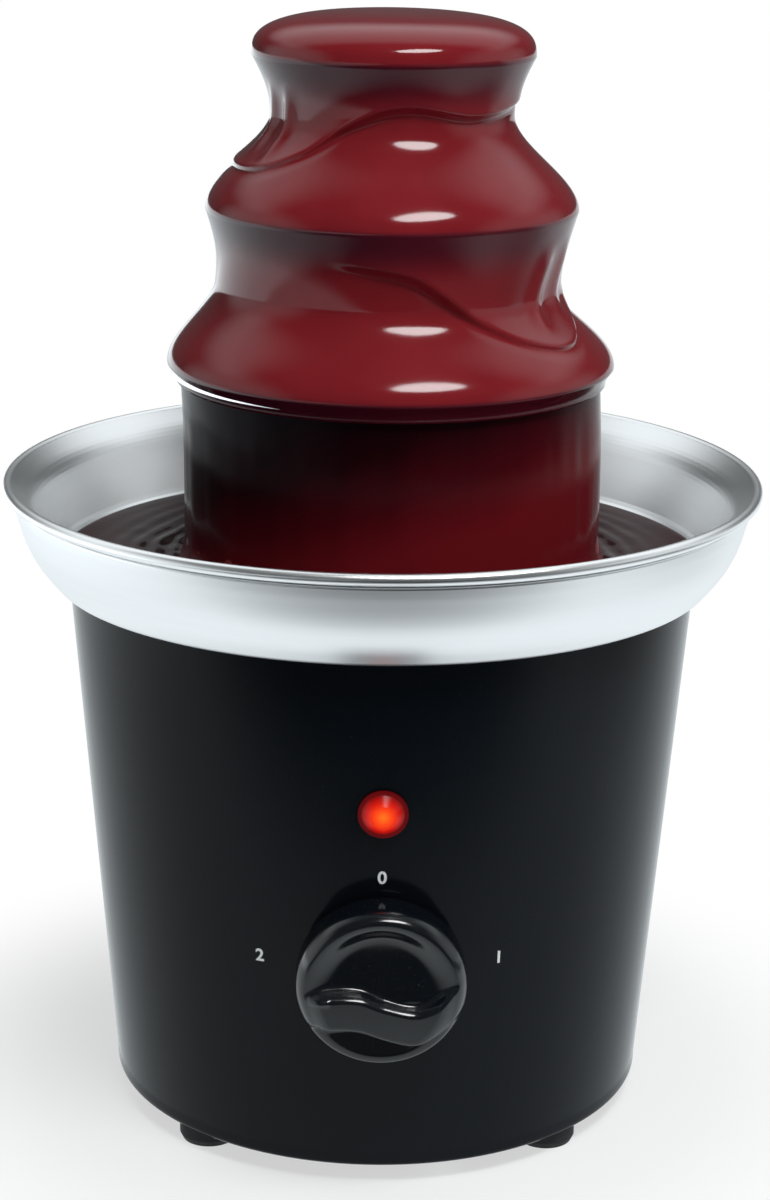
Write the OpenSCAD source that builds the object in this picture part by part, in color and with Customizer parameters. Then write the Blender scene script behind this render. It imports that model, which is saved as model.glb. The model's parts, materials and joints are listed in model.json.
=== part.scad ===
// Table-top chocolate fountain: a screw in the tower lifts melted chocolate from a
// steel bowl to the crown, and it falls back over three tiers as a curtain.
// The origin is on the table under the middle of the base, +Z up, front at -Y.

/* [Base] */
// Height of the rubber feet
foot_h = 5; // [3:0.5:8]
// Radius of one rubber foot
foot_r = 7.5; // [6:0.25:9]
// Distance of the middle of a foot inside the lower edge of the housing
foot_in = 8.7; // [8.5:0.1:11]
// Thickness of the bottom cover
cover_t = 3.6; // [3:0.1:5]
// Height of the housing wall
housing_h = 129.1; // [122:0.1:140]
// Radius of the housing at its lower edge
housing_bottom_r = 68.7; // [68:0.1:71]
// Radius of the housing at its upper edge
housing_top_r = 79; // [78.5:0.1:79.5]
// Thickness of the housing wall
housing_wall = 2.5; // [2:0.1:3]

/* [Bowl] */
// Reach of the rim of the bowl beyond the top of the housing
rim_over = 16; // [14:0.1:20]
// Height of the rim above the shoulder that rests on the skirt
rim_rise = 24; // [20:0.1:28]
// Radius of the rolled bead along the rim
bead_r = 1.4; // [1.1:0.1:1.8]
// Thickness of the sheet metal
sheet_t = 1; // [0.7:0.1:1.3]
// Width of the flange between the rim and the step down into the bowl
brim_w = 7.5; // [5:0.1:9]
// Drop from the rim to that step
step_drop = 5.5; // [4:0.1:8]
// Reach of the foot of the bowl wall beyond the top of the housing
shoulder_over = 3; // [2:0.1:3.3]
// Distance of the well inside the top of the housing
well_in = 5.5; // [5:0.1:8]
// Width of the sloping wall of the well
well_slope_w = 7.5; // [5:0.1:9]
// Depth of the well below the shoulder
well_depth = 20.9; // [18:0.1:24]
// Reach of the rim beyond the top of the skirt
bead_over = 2.1; // [2:0.1:4]
// Reach of the lower edge of the skirt beyond the top of the housing
skirt_over = 3.6; // [3.4:0.1:5]
// Place of the belly between the lower and the upper edge of the skirt
belly_share = 0.64; // [0.55:0.01:0.8]

/* [Chocolate] */
// Depth of the chocolate over the shoulder of the bowl
pool_over = 1.3; // [0.4:0.1:3]
// Radius of the curtain that falls into the pool
curtain_r = 52.1; // [50:0.1:53]
// Height of the straight curtain above the pool
curtain_h = 37.5; // [34:0.5:42]
// Radius of the flow at the lip of the lower tier
lower_lip_r = 55.3; // [54:0.1:60]
// Height of that lip above the pool
lower_lip_h = 50.4; // [49:0.1:55]
// Radius of the neck over the lower tier
lower_neck_r = 41.7; // [39:0.1:44]
// Height of that neck above the pool
lower_neck_h = 70.3; // [68:0.1:74]
// Radius of the flow at the lip of the middle tier
middle_lip_r = 45.4; // [44.5:0.1:49]
// Height of that lip above the pool
middle_lip_h = 88.5; // [86:0.1:93]
// Radius of the neck over the middle tier
middle_neck_r = 29.3; // [27.5:0.1:31]
// Height of that neck above the pool
middle_neck_h = 111.5; // [110:0.1:115]
// Radius of the flow at the lip of the top tier
top_lip_r = 34.2; // [33:0.1:38]
// Height of that lip above the pool
top_lip_h = 125.5; // [123:0.1:130]
// Rise of the crown above the top lip
crown_rise = 10.3; // [6:0.1:12]
// Thickness of the flowing chocolate
coat_t = 2; // [1.5:0.1:2.4]

/* [Tower] */
// Outer radius of the lowest stretch of the tower tube
tube_r = 17; // [16.5:0.1:18]
// Step in the tube on which each tier sits
tube_step = 0.9; // [0.7:0.05:1]
// Bore radius of the tube
tube_bore_r = 12.8; // [12.5:0.1:13.2]
// Radius of the foot flange of the tube
flange_r = 34; // [33:0.25:36]
// Thickness of that flange
flange_t = 2; // [1.5:0.1:3]
// Sheet thickness of the tiers
tier_t = 1.2; // [1:0.1:1.5]
// Height of the collar by which a tier sits on the tube
collar_h = 10; // [8:0.5:12]
// Wall of that collar
collar_t = 1.6; // [1.2:0.1:2]
// Rise of each tier from its neck to its collar
dome_rise = 6; // [5:0.25:8]
// Pitch of the screw that lifts the chocolate
auger_pitch = 18; // [15:0.5:22]
// Radius of the core of the screw
auger_core_r = 6; // [5.6:0.1:6.5]

/* [Drive] */
// Radius of the drive shaft
shaft_r = 4.5; // [4.2:0.1:4.7]
// Corner radius of the hexagon on top of the shaft
hex_r = 4; // [3.6:0.1:4.1]
// Height of that hexagon
hex_h = 13; // [10:0.5:16]
// Pitch radius of the large wheel of the first gear pair
fast_pitch_r = 21; // [20:0.25:22]
// Pitch radius of the large wheel of the second gear pair
slow_pitch_r = 22; // [21:0.25:22.5]
// Face width of the gears
gear_w = 6; // [5:0.5:6.5]
// Radius of the motor can
motor_r = 18; // [17:0.25:19]
// Height of the motor can
motor_h = 38; // [34:0.5:42]

/* [Front fittings] */
// Height of the control knob above the table
knob_z = 59; // [54:0.5:66]
// Radius of the control knob
knob_r = 20.2; // [18:0.1:22]
// Depth of the round skirt of the knob
knob_skirt_h = 9.3; // [8:0.1:11]
// Depth of the whole knob with its grip
knob_h = 14.6; // [13:0.1:17]
// Width of the grip
grip_w = 7.4; // [6:0.1:9]
// Sideways swing of the wave in the grip
grip_wave = 1.5; // [0.8:0.1:2]
// Height of the pilot lamp above the table
lamp_z = 100; // [96:0.5:104]
// Radius of the lens of the pilot lamp
lamp_r = 5; // [4.5:0.1:6]
// Height of the cord gland above the table
gland_z = 26; // [24:0.5:32]
// Bore radius of the cord gland
gland_bore_r = 3.2; // [2.8:0.1:3.6]

/* [Hidden] */

// Fits and overruns
running_fit = 0.05;
slip_fit = 0.15;
loose_fit = 0.3;
cut = 1;
round_fn = 64;
small_fn = 32;
hex_fn = 6;
bend_steps = 5;
bend_share = 0.45;
ease_steps = 9;
wave_steps = 24;
crown_steps = 12;

// Radii that hang on the housing
foot_circle_r = housing_bottom_r - foot_in;
rim_r = housing_top_r + rim_over;
step_r = rim_r - brim_w;
wall_foot_r = housing_top_r + shoulder_over;
well_r = housing_top_r - well_in;
floor_r = well_r - well_slope_w;
skirt_top_r = rim_r - bead_over;
skirt_bottom_r = housing_top_r + skirt_over;
skirt_belly_r = skirt_bottom_r + (skirt_top_r - skirt_bottom_r) * belly_share;

// Levels of the base, from the table up
housing_z = foot_h + cover_t;
skirt_z = housing_z + housing_h;
shoulder_z = skirt_z + 2 * sheet_t;
rim_z = skirt_z + sheet_t + rim_rise;
floor_z = shoulder_z - well_depth;
pan_underside_z = floor_z - sheet_t;
wall_slope = (housing_top_r - housing_bottom_r) / housing_h;
wall_tilt = atan(wall_slope);
function wall_r(z) = housing_bottom_r + (z - housing_z) * wall_slope;

// Bosses for the cover screws
boss_r = 4;
boss_h = 20;
boss_first_deg = 15;
boss_bore_r = 1.6;
boss_circle_r = housing_bottom_r - housing_wall - boss_r + loose_fit;
screw_r = 1.5;
screw_head_r = 3.4;
screw_head_h = 2;
screw_head_trim = 1.2;
screw_l = 14;
edge_round = 1.5;
vent_l = 16;
vent_w = 3;
vent_in_r = 28;
stem_r = 3;
stem_head_r = 4;
stem_head_h = 1.4;
foot_first_deg = 45;
rib_h = 4;
rib_t = 2;
rib_r = foot_circle_r - stem_head_r - 2 * loose_fit;

// The stack that hangs the drive under the bowl on three studs
stud_r = 2;
stud_in = 9;
stud_circle_r = floor_r - stud_in;
stud_first_deg = 90;
spacer_t = 1.5;
heater_in_r = 30;
heater_out_r = 42;
heater_h = 8;
shield_t = 1;
shield_dish = 6;
shield_rise_r = 46;
shield_r = 62;
plate_t = 1.5;
plate_r = 61;
lug_t = 4;
lug_w = 12;
nut_h = 3.2;
nut_r = 4;
shield_top_z = pan_underside_z - heater_h;
plate_top_z = shield_top_z - shield_dish - shield_t;
plate_z = plate_top_z - plate_t;
lug_z = plate_z - lug_t;
nut_z = lug_z - nut_h;
neck_hole_r = 9;
seal_flange_r = 11.2;
seal_flange_t = 1.5;
seal_h = 4;
thermostat_r = 6.5;
thermostat_deg = 200;
thermostat_circle_r = 20;
thermostat_body_share = 0.6;
fuse_r = 2;
fuse_l = 12;
fuse_deg = 20;

// Gears: each pair is in mesh at rest, first pair low, second pair high
fast_teeth = 14;
fast_wheel_teeth = 60;
slow_teeth = 14;
slow_wheel_teeth = 44;
pressure_deg = 20;
addendum_share = 0.9;
dedendum_share = 1.2;
backlash_share = 0.09;
flank_steps = 4;
fast_module = 2 * fast_pitch_r / fast_wheel_teeth;
slow_module = 2 * slow_pitch_r / slow_wheel_teeth;
fast_reach = fast_module * (fast_teeth + fast_wheel_teeth) / 2;
slow_reach = slow_module * (slow_teeth + slow_wheel_teeth) / 2;
wheel_deg = 180;
motor_deg = 60;
mid_at = slow_reach * [cos(wheel_deg), sin(wheel_deg)];
motor_at = mid_at + fast_reach * [cos(motor_deg), sin(motor_deg)];
slow_wheel_r = slow_module * (slow_wheel_teeth / 2 + addendum_share);
fast_wheel_r = fast_module * (fast_wheel_teeth / 2 + addendum_share);

// Gearbox
case_t = 2.5;
case_room = 1;
case_gap = 1.5;
lid_t = 3;
lid_z = plate_z - lid_t;
case_h = 3 * case_gap + 2 * gear_w + case_t + 2 * case_room;
case_z = lid_z - case_h;
fast_z = case_z + case_t + case_gap;
slow_z = fast_z + gear_w + case_gap;
post_r = 3.6;
post_reach = post_r - loose_fit;
post_degs = [-45, 70, 185];
pin_r = 2;
bush_t = 1.8;
bush_flange_t = 0.8;
hub_r = 7.5;
clip_r = 7;
clip_t = 0.8;
rotor_r = 11.5;
rotor_shaft_r = 1.6;
rotor_end = 5;
air_gap = 0.6;
magnet_deg = 150;
can_t = 1.6;
motor_screw_reach = 6.8;
can_z = case_z - motor_h;

// Drive shaft and tower
shaft_top_z = floor_z + seal_flange_t + 4 * loose_fit;
pool_z = shoulder_z + pool_over;
top_lip_z = pool_z + top_lip_h;
middle_lip_z = pool_z + middle_lip_h;
middle_neck_z = pool_z + middle_neck_h;
lower_lip_z = pool_z + lower_lip_h;
lower_neck_z = pool_z + lower_neck_h;
tier_gap = 0.4;
crown_gap_share = 0.35;
drip_h = 2.5;
top_rim_drop = 2.2;
tube_top_z = top_lip_z;
peg_r = 2;
peg_h = 7;
peg_circle_r = 28;
peg_first_deg = 90;
foot_cone_r = 22;
foot_cone_h = 14;
window_r = 5;
pool_gap = 0.2;
flight_t = 2.6;
flight_r = tube_bore_r - 2 * running_fit - loose_fit;
auger_top_z = tube_top_z - cut;
slices_per_turn = 16;
core_fn = 16;

// Front fittings
knob_gap = 1.2;
knob_edge = 0.9;
knob_face_drop = 1.1;
scoop_r = 26;
scoop_depth = 5.5;
hub_pocket_r = 9;
hub_pocket_h = 4;
spindle_r = 3;
bushing_r = 4.6;
bushing_out = 2.6;
spot_r = 8;
spot_depth = 0.5;
switch_pad_r = 13;
switch_pad_t = 3;
switch_w = 24;
switch_d = 16;
switch_tab_l = 6;
switch_tab_w = 4;
switch_tab_t = 0.8;
switch_nut_r = 6.5;
switch_nut_h = 2;
switch_back_z = -housing_wall - switch_pad_t;
tab_z = switch_back_z - switch_d - switch_tab_l;
spindle_z = switch_back_z - switch_d / 2;
lens_flange = 0.9;
lens_flange_t = 0.8;
lens_rise = 2;
lens_tip_share = 0.6;
lens_l = 8;
lens_bore_r = 3.2;
holder_r = 7.5;
holder_l = 9;
holder_floor = 2.4;
holder_z = -housing_wall - 2 * loose_fit;
bulb_r = 2.6;
bulb_l = 8;
gland_r = 6;
gland_flange_r = 8.5;
gland_flange_t = 1.8;
block_l = 24;
block_w = 12;
block_h = 10;
block_y = 38;
block_screw_r = 1.8;

// A point at share s along the curve that a corner pulls towards itself
function curve(a, corner, b, s) = (1 - s) * (1 - s) * a + 2 * s * (1 - s) * corner + s * s * b;
function unit(v) = v / norm(v);
function short_of(a, b, d) = min(d, norm(b - a) * bend_share);

// A path whose inner corners are bent over a length on each side, the same or one for each
function bent(path, lengths) = concat(
    [path[0]],
    [for (i = [1:len(path) - 2])
        let (p = path[i], a = path[i - 1], b = path[i + 1], d = is_list(lengths) ? lengths[i - 1] : lengths)
        for (k = [0:bend_steps])
            curve(
                p + unit(a - p) * short_of(p, a, d),
                p,
                p + unit(b - p) * short_of(p, b, d),
                k / bend_steps)],
    [path[len(path) - 1]]);

// The path moved to its left by t, with mitred corners
function left_of(a, b) = [a[1] - b[1], b[0] - a[0]] / norm(b - a);
function beside(path, t) = [for (i = [0:len(path) - 1])
    let (
        last = len(path) - 2,
        before = left_of(path[max(i - 1, 0)], path[max(i - 1, 0) + 1]),
        after = left_of(path[min(i, last)], path[min(i, last) + 1]),
        way = unit(before + after))
    path[i] + way * t / (way * before)];
function reversed(path) = [for (i = [len(path) - 1:-1:0]) path[i]];

// The section of a sheet of thickness t on the left of a path
module sheet(path, t) {
    polygon(concat(path, reversed(beside(path, t))));
}

// Soft passage from one radius to the next between two heights
function ease(s) = s * s * (3 - 2 * s);
function passage(a, b) = [for (k = [1:ease_steps])
    let (s = k / ease_steps) [a[0] + (b[0] - a[0]) * ease(s), a[1] + (b[1] - a[1]) * s]];

// Places a child on the outside of the tapered wall, its +Z outwards and its +Y up
module on_wall(z, deg) {
    rotate([0, 0, deg])
        translate([wall_r(z), 0, z])
            rotate([0, 90 + wall_tilt, 0])
                rotate([0, 0, 90])
                    children();
}
module on_front(z) {
    on_wall(z, -90) children();
}
module around(count, first_deg, r) {
    for (i = [0:count - 1]) {
        rotate([0, 0, first_deg + i * 360 / count])
            translate([r, 0, 0])
                children();
    }
}
module ring(out_r, in_r, h) {
    difference() {
        cylinder(r = out_r, h = h, $fn = round_fn);
        translate([0, 0, -cut])
            cylinder(r = in_r, h = h + 2 * cut, $fn = round_fn);
    }
}

// Base

module housing() {
    color([0.05, 0.055, 0.07])
    difference() {
        union() {
            difference() {
                translate([0, 0, housing_z])
                    cylinder(r1 = housing_bottom_r, r2 = housing_top_r, h = housing_h, $fn = round_fn);
                translate([0, 0, housing_z - cut])
                    cylinder(
                        r1 = housing_bottom_r - housing_wall - cut * wall_slope,
                        r2 = housing_top_r - housing_wall + cut * wall_slope,
                        h = housing_h + 2 * cut,
                        $fn = round_fn);
            }
            intersection() {
                union() {
                    around(4, boss_first_deg, boss_circle_r)
                        translate([0, 0, housing_z])
                            cylinder(r = boss_r, h = boss_h, $fn = small_fn);
                    around(3, stud_first_deg, stud_circle_r)
                        stud_lug();
                    on_front(knob_z)
                        translate([0, 0, switch_back_z])
                            cylinder(
                                r = switch_pad_r,
                                h = switch_pad_t + housing_wall / 2,
                                $fn = round_fn);
                }
                translate([0, 0, housing_z])
                    cylinder(
                        r1 = housing_bottom_r - housing_wall / 2,
                        r2 = housing_top_r - housing_wall / 2,
                        h = housing_h,
                        $fn = round_fn);
            }
        }
        around(4, boss_first_deg, boss_circle_r)
            translate([0, 0, housing_z - cut])
                cylinder(r = boss_bore_r, h = boss_h, $fn = small_fn);
        around(3, stud_first_deg, stud_circle_r)
            translate([0, 0, lug_z - cut])
                cylinder(r = stud_r + slip_fit, h = lug_t + 2 * cut, $fn = small_fn);
        on_front(knob_z) {
            translate([0, 0, switch_back_z - cut])
                cylinder(
                    r = bushing_r + slip_fit,
                    h = switch_pad_t + housing_wall + 2 * cut,
                    $fn = small_fn);
            translate([0, 0, -spot_depth])
                cylinder(r = spot_r, h = spot_depth + cut, $fn = round_fn);
        }
        on_front(lamp_z)
            translate([0, 0, -housing_wall - cut])
                cylinder(r = lamp_r, h = housing_wall + 2 * cut, $fn = small_fn);
        on_wall(gland_z, 90)
            translate([0, 0, -housing_wall - cut])
                cylinder(r = gland_r + slip_fit, h = housing_wall + 2 * cut, $fn = small_fn);
    }
}

// A shelf from the wall to one stud, with a gusset below it
module stud_lug() {
    lug_reach = housing_top_r - stud_circle_r;
    translate([-lug_w / 2, -lug_w / 2, lug_z])
        cube([lug_reach, lug_w, lug_t]);
    translate([lug_w / 2, lug_t / 2, lug_z])
        rotate([90, 0, 0])
            linear_extrude(lug_t)
                polygon([[0, 0], [lug_reach, 0], [lug_reach, -2 * lug_w]]);
}

module bottom_cover() {
    profile = bent([[0, foot_h], [housing_bottom_r, foot_h], [housing_bottom_r, housing_z]], edge_round);
    color([0.06, 0.06, 0.07])
    difference() {
        union() {
            rotate_extrude($fn = round_fn)
                polygon(concat(profile, [[0, housing_z]]));
            translate([0, 0, housing_z])
                ring(rib_r, rib_r - rib_t, rib_h);
        }
        around(4, boss_first_deg, boss_circle_r) {
            translate([0, 0, foot_h - cut])
                cylinder(r = screw_r + slip_fit, h = cover_t + 2 * cut, $fn = small_fn);
            translate([0, 0, foot_h - cut])
                cylinder(r = screw_head_r + slip_fit, h = screw_head_h + cut, $fn = small_fn);
        }
        around(4, foot_first_deg, foot_circle_r)
            translate([0, 0, foot_h - cut])
                cylinder(r = stem_r + slip_fit, h = cover_t + 2 * cut, $fn = small_fn);
        around(12, 0, vent_in_r)
            translate([0, -vent_w / 2, foot_h - cut])
                cube([vent_l, vent_w, cover_t + 2 * cut]);
    }
}

module foot(i) {
    color([0.08, 0.08, 0.08])
    rotate([0, 0, foot_first_deg + 90 * i])
        translate([foot_circle_r, 0, 0]) {
            cylinder(r1 = foot_r - edge_round / 2, r2 = foot_r, h = edge_round, $fn = round_fn);
            translate([0, 0, edge_round])
                cylinder(r = foot_r, h = foot_h - edge_round, $fn = round_fn);
            translate([0, 0, foot_h])
                cylinder(r = stem_r, h = cover_t, $fn = small_fn);
            translate([0, 0, housing_z])
                cylinder(r1 = stem_head_r, r2 = stem_r, h = stem_head_h, $fn = small_fn);
        }
}

module cover_screws() {
    color("silver")
    around(4, boss_first_deg, boss_circle_r) {
        translate([0, 0, foot_h])
            cylinder(r = screw_head_r, h = screw_head_h, $fn = small_fn);
        translate([0, 0, foot_h + screw_head_h])
            cylinder(r = screw_r, h = screw_l, $fn = small_fn);
    }
}

// Bowl

// The bead along the rim: the sheet curls over the top and back under itself
curl_steps = 10;
curl_first_deg = 130;
curl_last_deg = -70;
curl = [for (k = [0:curl_steps])
    let (a = curl_first_deg + (curl_last_deg - curl_first_deg) * k / curl_steps)
    [rim_r - bead_r, rim_z - bead_r] + bead_r * [cos(a), sin(a)]];

belly_bend = 6;

// The inside of the bowl, from the shaft outwards and up
wet_path = bent([
    [neck_hole_r, floor_z],
    [floor_r, floor_z],
    [well_r, shoulder_z],
    [wall_foot_r, shoulder_z],
    [step_r, rim_z - step_drop],
    curl[0]], 3 * sheet_t);

module bowl_pan() {
    color([0.78, 0.8, 0.82])
    difference() {
        rotate_extrude($fn = round_fn)
            sheet(concat(wet_path, [for (k = [1:curl_steps]) curl[k]]), -sheet_t);
        around(3, stud_first_deg, stud_circle_r)
            translate([0, 0, pan_underside_z])
                cylinder(r = stud_r + running_fit, h = sheet_t / 2, $fn = small_fn);
    }
}

module bowl_skirt() {
    path = bent([
        [housing_top_r - housing_wall / 2, skirt_z],
        [skirt_bottom_r, skirt_z],
        [skirt_belly_r, skirt_z + rim_rise / 3],
        [skirt_top_r, rim_z - 2 * bead_r - loose_fit]], [sheet_t, belly_bend]);
    color([0.72, 0.74, 0.76])
    rotate_extrude($fn = round_fn)
        sheet(path, sheet_t);
}

module bowl_studs() {
    color("silver")
    around(3, stud_first_deg, stud_circle_r)
        translate([0, 0, nut_z - stud_r])
            cylinder(r = stud_r, h = pan_underside_z + sheet_t / 2 - nut_z + stud_r, $fn = small_fn);
}

module stud_spacers() {
    color("gainsboro")
    around(3, stud_first_deg, stud_circle_r)
        translate([0, 0, plate_top_z + shield_t])
            ring(stud_r + slip_fit + spacer_t, stud_r + slip_fit, pan_underside_z - plate_top_z - shield_t);
}

module stud_nuts() {
    color("silver")
    around(3, stud_first_deg, stud_circle_r)
        translate([0, 0, nut_z])
            difference() {
                cylinder(r = nut_r, h = nut_h, $fn = hex_fn);
                translate([0, 0, -cut])
                    cylinder(r = stud_r + running_fit, h = nut_h + 2 * cut, $fn = small_fn);
            }
}

module tower_pegs() {
    color("silver")
    around(3, peg_first_deg, peg_circle_r)
        translate([0, 0, floor_z]) {
            cylinder(r = peg_r, h = peg_h - peg_r / 2, $fn = small_fn);
            translate([0, 0, peg_h - peg_r / 2])
                cylinder(r1 = peg_r, r2 = peg_r / 2, h = peg_r / 2, $fn = small_fn);
        }
}

module shaft_seal() {
    color([0.6, 0.25, 0.2])
    difference() {
        union() {
            translate([0, 0, floor_z])
                cylinder(r = seal_flange_r, h = seal_flange_t, $fn = round_fn);
            translate([0, 0, floor_z - seal_h])
                cylinder(r = neck_hole_r - running_fit, h = seal_h, $fn = round_fn);
        }
        translate([0, 0, floor_z - seal_h - cut])
            cylinder(r = shaft_r + running_fit, h = seal_h + seal_flange_t + 2 * cut, $fn = round_fn);
    }
}

// Heating parts between the bowl and the drive

module heater_ring() {
    mid_r = (heater_in_r + heater_out_r) / 2;
    color([0.55, 0.5, 0.45])
    union() {
        translate([0, 0, shield_top_z])
            ring(heater_out_r, heater_in_r, heater_h);
        for (side = [-1, 1]) {
            translate([side * mid_r / 4, -heater_out_r - switch_tab_l / 2, shield_top_z + heater_h / 2])
                cube([switch_tab_w, switch_tab_l, switch_tab_t]);
        }
    }
}

module heat_shield() {
    path = bent([
        [shaft_r + 2 * cut, shield_top_z],
        [shield_rise_r, shield_top_z],
        [shield_rise_r + shield_dish / 2, plate_top_z + shield_t],
        [shield_r, plate_top_z + shield_t]], 2 * shield_t);
    color([0.7, 0.7, 0.68])
    difference() {
        rotate_extrude($fn = round_fn)
            sheet(path, -shield_t);
        around(3, stud_first_deg, stud_circle_r)
            translate([0, 0, plate_top_z - cut])
                cylinder(r = stud_r + slip_fit, h = shield_t + 2 * cut, $fn = small_fn);
    }
}

module thermostat() {
    color([0.9, 0.88, 0.8])
    rotate([0, 0, thermostat_deg])
        translate([thermostat_circle_r, 0, shield_top_z]) {
            cylinder(r = thermostat_r, h = heater_h * thermostat_body_share, $fn = round_fn);
            cylinder(r = thermostat_r - shield_t, h = heater_h, $fn = round_fn);
        }
}

module thermal_fuse() {
    color([0.85, 0.85, 0.9])
    rotate([0, 0, fuse_deg])
        translate([thermostat_circle_r, -fuse_l / 2, shield_top_z + fuse_r + loose_fit])
            rotate([-90, 0, 0])
                cylinder(r = fuse_r, h = fuse_l, $fn = small_fn);
}

// Gearbox and motor

module mounting_plate() {
    color([0.6, 0.62, 0.65])
    difference() {
        translate([0, 0, plate_z])
            cylinder(r = plate_r, h = plate_t, $fn = round_fn);
        translate([0, 0, plate_z - cut])
            cylinder(r = shaft_r + bush_t + 2 * slip_fit, h = plate_t + 2 * cut, $fn = round_fn);
        around(3, stud_first_deg, stud_circle_r)
            translate([0, 0, plate_z - cut])
                cylinder(r = stud_r + slip_fit, h = plate_t + 2 * cut, $fn = small_fn);
        at_posts()
            translate([0, 0, plate_z - cut])
                cylinder(r = screw_r + running_fit, h = plate_t + 2 * cut, $fn = small_fn);
    }
}

module at_posts() {
    wheel_posts = slow_wheel_r + case_room + case_t + post_reach;
    mid_posts = fast_wheel_r + case_room + case_t + post_reach;
    for (i = [0:len(post_degs) - 1]) {
        base = i == 2 ? mid_at : [0, 0];
        reach = i == 2 ? mid_posts : wheel_posts;
        translate(concat(base + reach * [cos(post_degs[i]), sin(post_degs[i])], [0]))
            children();
    }
}

// The outline of the gearbox, grown outwards by the value given
module gear_room(grow) {
    hull() {
        circle(r = slow_wheel_r + case_room + grow, $fn = small_fn);
        translate(mid_at)
            circle(r = fast_wheel_r + case_room + grow, $fn = small_fn);
        translate(motor_at)
            circle(r = motor_screw_reach + screw_head_r - screw_head_trim + case_room + grow, $fn = small_fn);
    }
}

module gearbox_case() {
    color([0.85, 0.84, 0.8])
    difference() {
        union() {
            translate([0, 0, case_z])
                difference() {
                    linear_extrude(case_h)
                        gear_room(case_t);
                    translate([0, 0, case_t])
                        linear_extrude(case_h)
                            gear_room(0);
                }
            at_posts()
                translate([0, 0, case_z])
                    cylinder(r = post_r, h = case_h, $fn = small_fn);
        }
        at_posts()
            translate([0, 0, case_z - cut])
                cylinder(r = screw_r + slip_fit, h = case_h + 2 * cut, $fn = small_fn);
        translate([0, 0, case_z - cut])
            cylinder(r = shaft_r + bush_t + running_fit, h = case_t + 2 * cut, $fn = round_fn);
        translate(concat(mid_at, [case_z - cut]))
            cylinder(r = pin_r + running_fit, h = case_t + 2 * cut, $fn = small_fn);
        translate(concat(motor_at, [case_z - cut]))
            cylinder(r = rotor_shaft_r + bush_t, h = case_t + 2 * cut, $fn = small_fn);
        at_motor_screws()
            translate([0, 0, case_z - cut])
                cylinder(r = screw_r + slip_fit, h = case_t + 2 * cut, $fn = small_fn);
    }
}

module gearbox_lid() {
    color([0.85, 0.84, 0.8])
    difference() {
        union() {
            translate([0, 0, lid_z])
                linear_extrude(lid_t)
                    gear_room(case_t);
            at_posts()
                translate([0, 0, lid_z])
                    cylinder(r = post_r, h = lid_t, $fn = small_fn);
        }
        at_posts()
            translate([0, 0, lid_z - cut])
                cylinder(r = screw_r + slip_fit, h = lid_t + 2 * cut, $fn = small_fn);
        translate([0, 0, lid_z - cut])
            cylinder(r = shaft_r + bush_t + running_fit, h = lid_t + 2 * cut, $fn = round_fn);
        translate(concat(mid_at, [lid_z - cut]))
            cylinder(r = pin_r + running_fit, h = lid_t + 2 * cut, $fn = small_fn);
    }
}

module gearbox_screws() {
    color("silver")
    at_posts() {
        translate([0, 0, case_z - screw_head_h])
            cylinder(r = screw_head_r, h = screw_head_h, $fn = small_fn);
        translate([0, 0, case_z])
            cylinder(r = screw_r, h = case_h + lid_t + plate_t, $fn = small_fn);
    }
}

module gear_pin() {
    color("silver")
    translate(concat(mid_at, [case_z]))
        cylinder(r = pin_r, h = case_h + lid_t, $fn = small_fn);
}

module bush(z, h, flange_z) {
    color([0.8, 0.62, 0.3])
    difference() {
        union() {
            translate([0, 0, z])
                cylinder(r = shaft_r + bush_t, h = h, $fn = round_fn);
            translate([0, 0, flange_z])
                cylinder(r = shaft_r + 2 * bush_t, h = bush_flange_t, $fn = round_fn);
        }
        translate([0, 0, z - cut])
            cylinder(r = shaft_r + running_fit, h = h + 2 * cut, $fn = round_fn);
    }
}

module upper_bush() {
    bush(lid_z - bush_flange_t, lid_t + plate_t + bush_flange_t, lid_z - bush_flange_t);
}

module lower_bush() {
    bush(case_z, case_t + bush_flange_t, case_z + case_t);
}

module at_motor_screws() {
    for (side = [-1, 1]) {
        translate(concat(motor_at + side * motor_screw_reach * [cos(motor_deg), sin(motor_deg)], [0]))
            children();
    }
}

module motor_can() {
    color([0.62, 0.64, 0.67])
    translate(concat(motor_at, [can_z + can_t]))
        difference() {
            cylinder(r = motor_r, h = motor_h - can_t, $fn = round_fn);
            translate([0, 0, -cut])
                cylinder(r = motor_r - can_t, h = motor_h - 3 * can_t + cut, $fn = round_fn);
            cylinder(r = rotor_shaft_r + running_fit, h = motor_h, $fn = small_fn);
            for (side = [-1, 1]) {
                translate(side * motor_screw_reach * [cos(motor_deg), sin(motor_deg), 0])
                    cylinder(r = screw_r + running_fit, h = motor_h, $fn = small_fn);
            }
        }
}

module motor_end_cap() {
    color([0.2, 0.2, 0.22])
    translate(concat(motor_at, [can_z]))
        difference() {
            union() {
                cylinder(r = motor_r, h = can_t, $fn = round_fn);
                translate([0, 0, can_t])
                    cylinder(r = motor_r - can_t - slip_fit, h = can_t, $fn = round_fn);
            }
            translate([0, 0, can_t / 2])
                cylinder(r = rotor_shaft_r + running_fit, h = 2 * can_t, $fn = small_fn);
        }
}

module motor_magnets() {
    magnet_h = motor_h - 6 * can_t;
    color([0.3, 0.3, 0.32])
    translate(concat(motor_at, [can_z + 2 * can_t + slip_fit])) {
        for (first = [0, 180]) {
            rotate([0, 0, first])
                rotate_extrude(angle = magnet_deg, $fn = round_fn)
                    translate([rotor_r + air_gap, 0])
                        square([motor_r - can_t - slip_fit - rotor_r - air_gap, magnet_h]);
        }
    }
}

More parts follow.
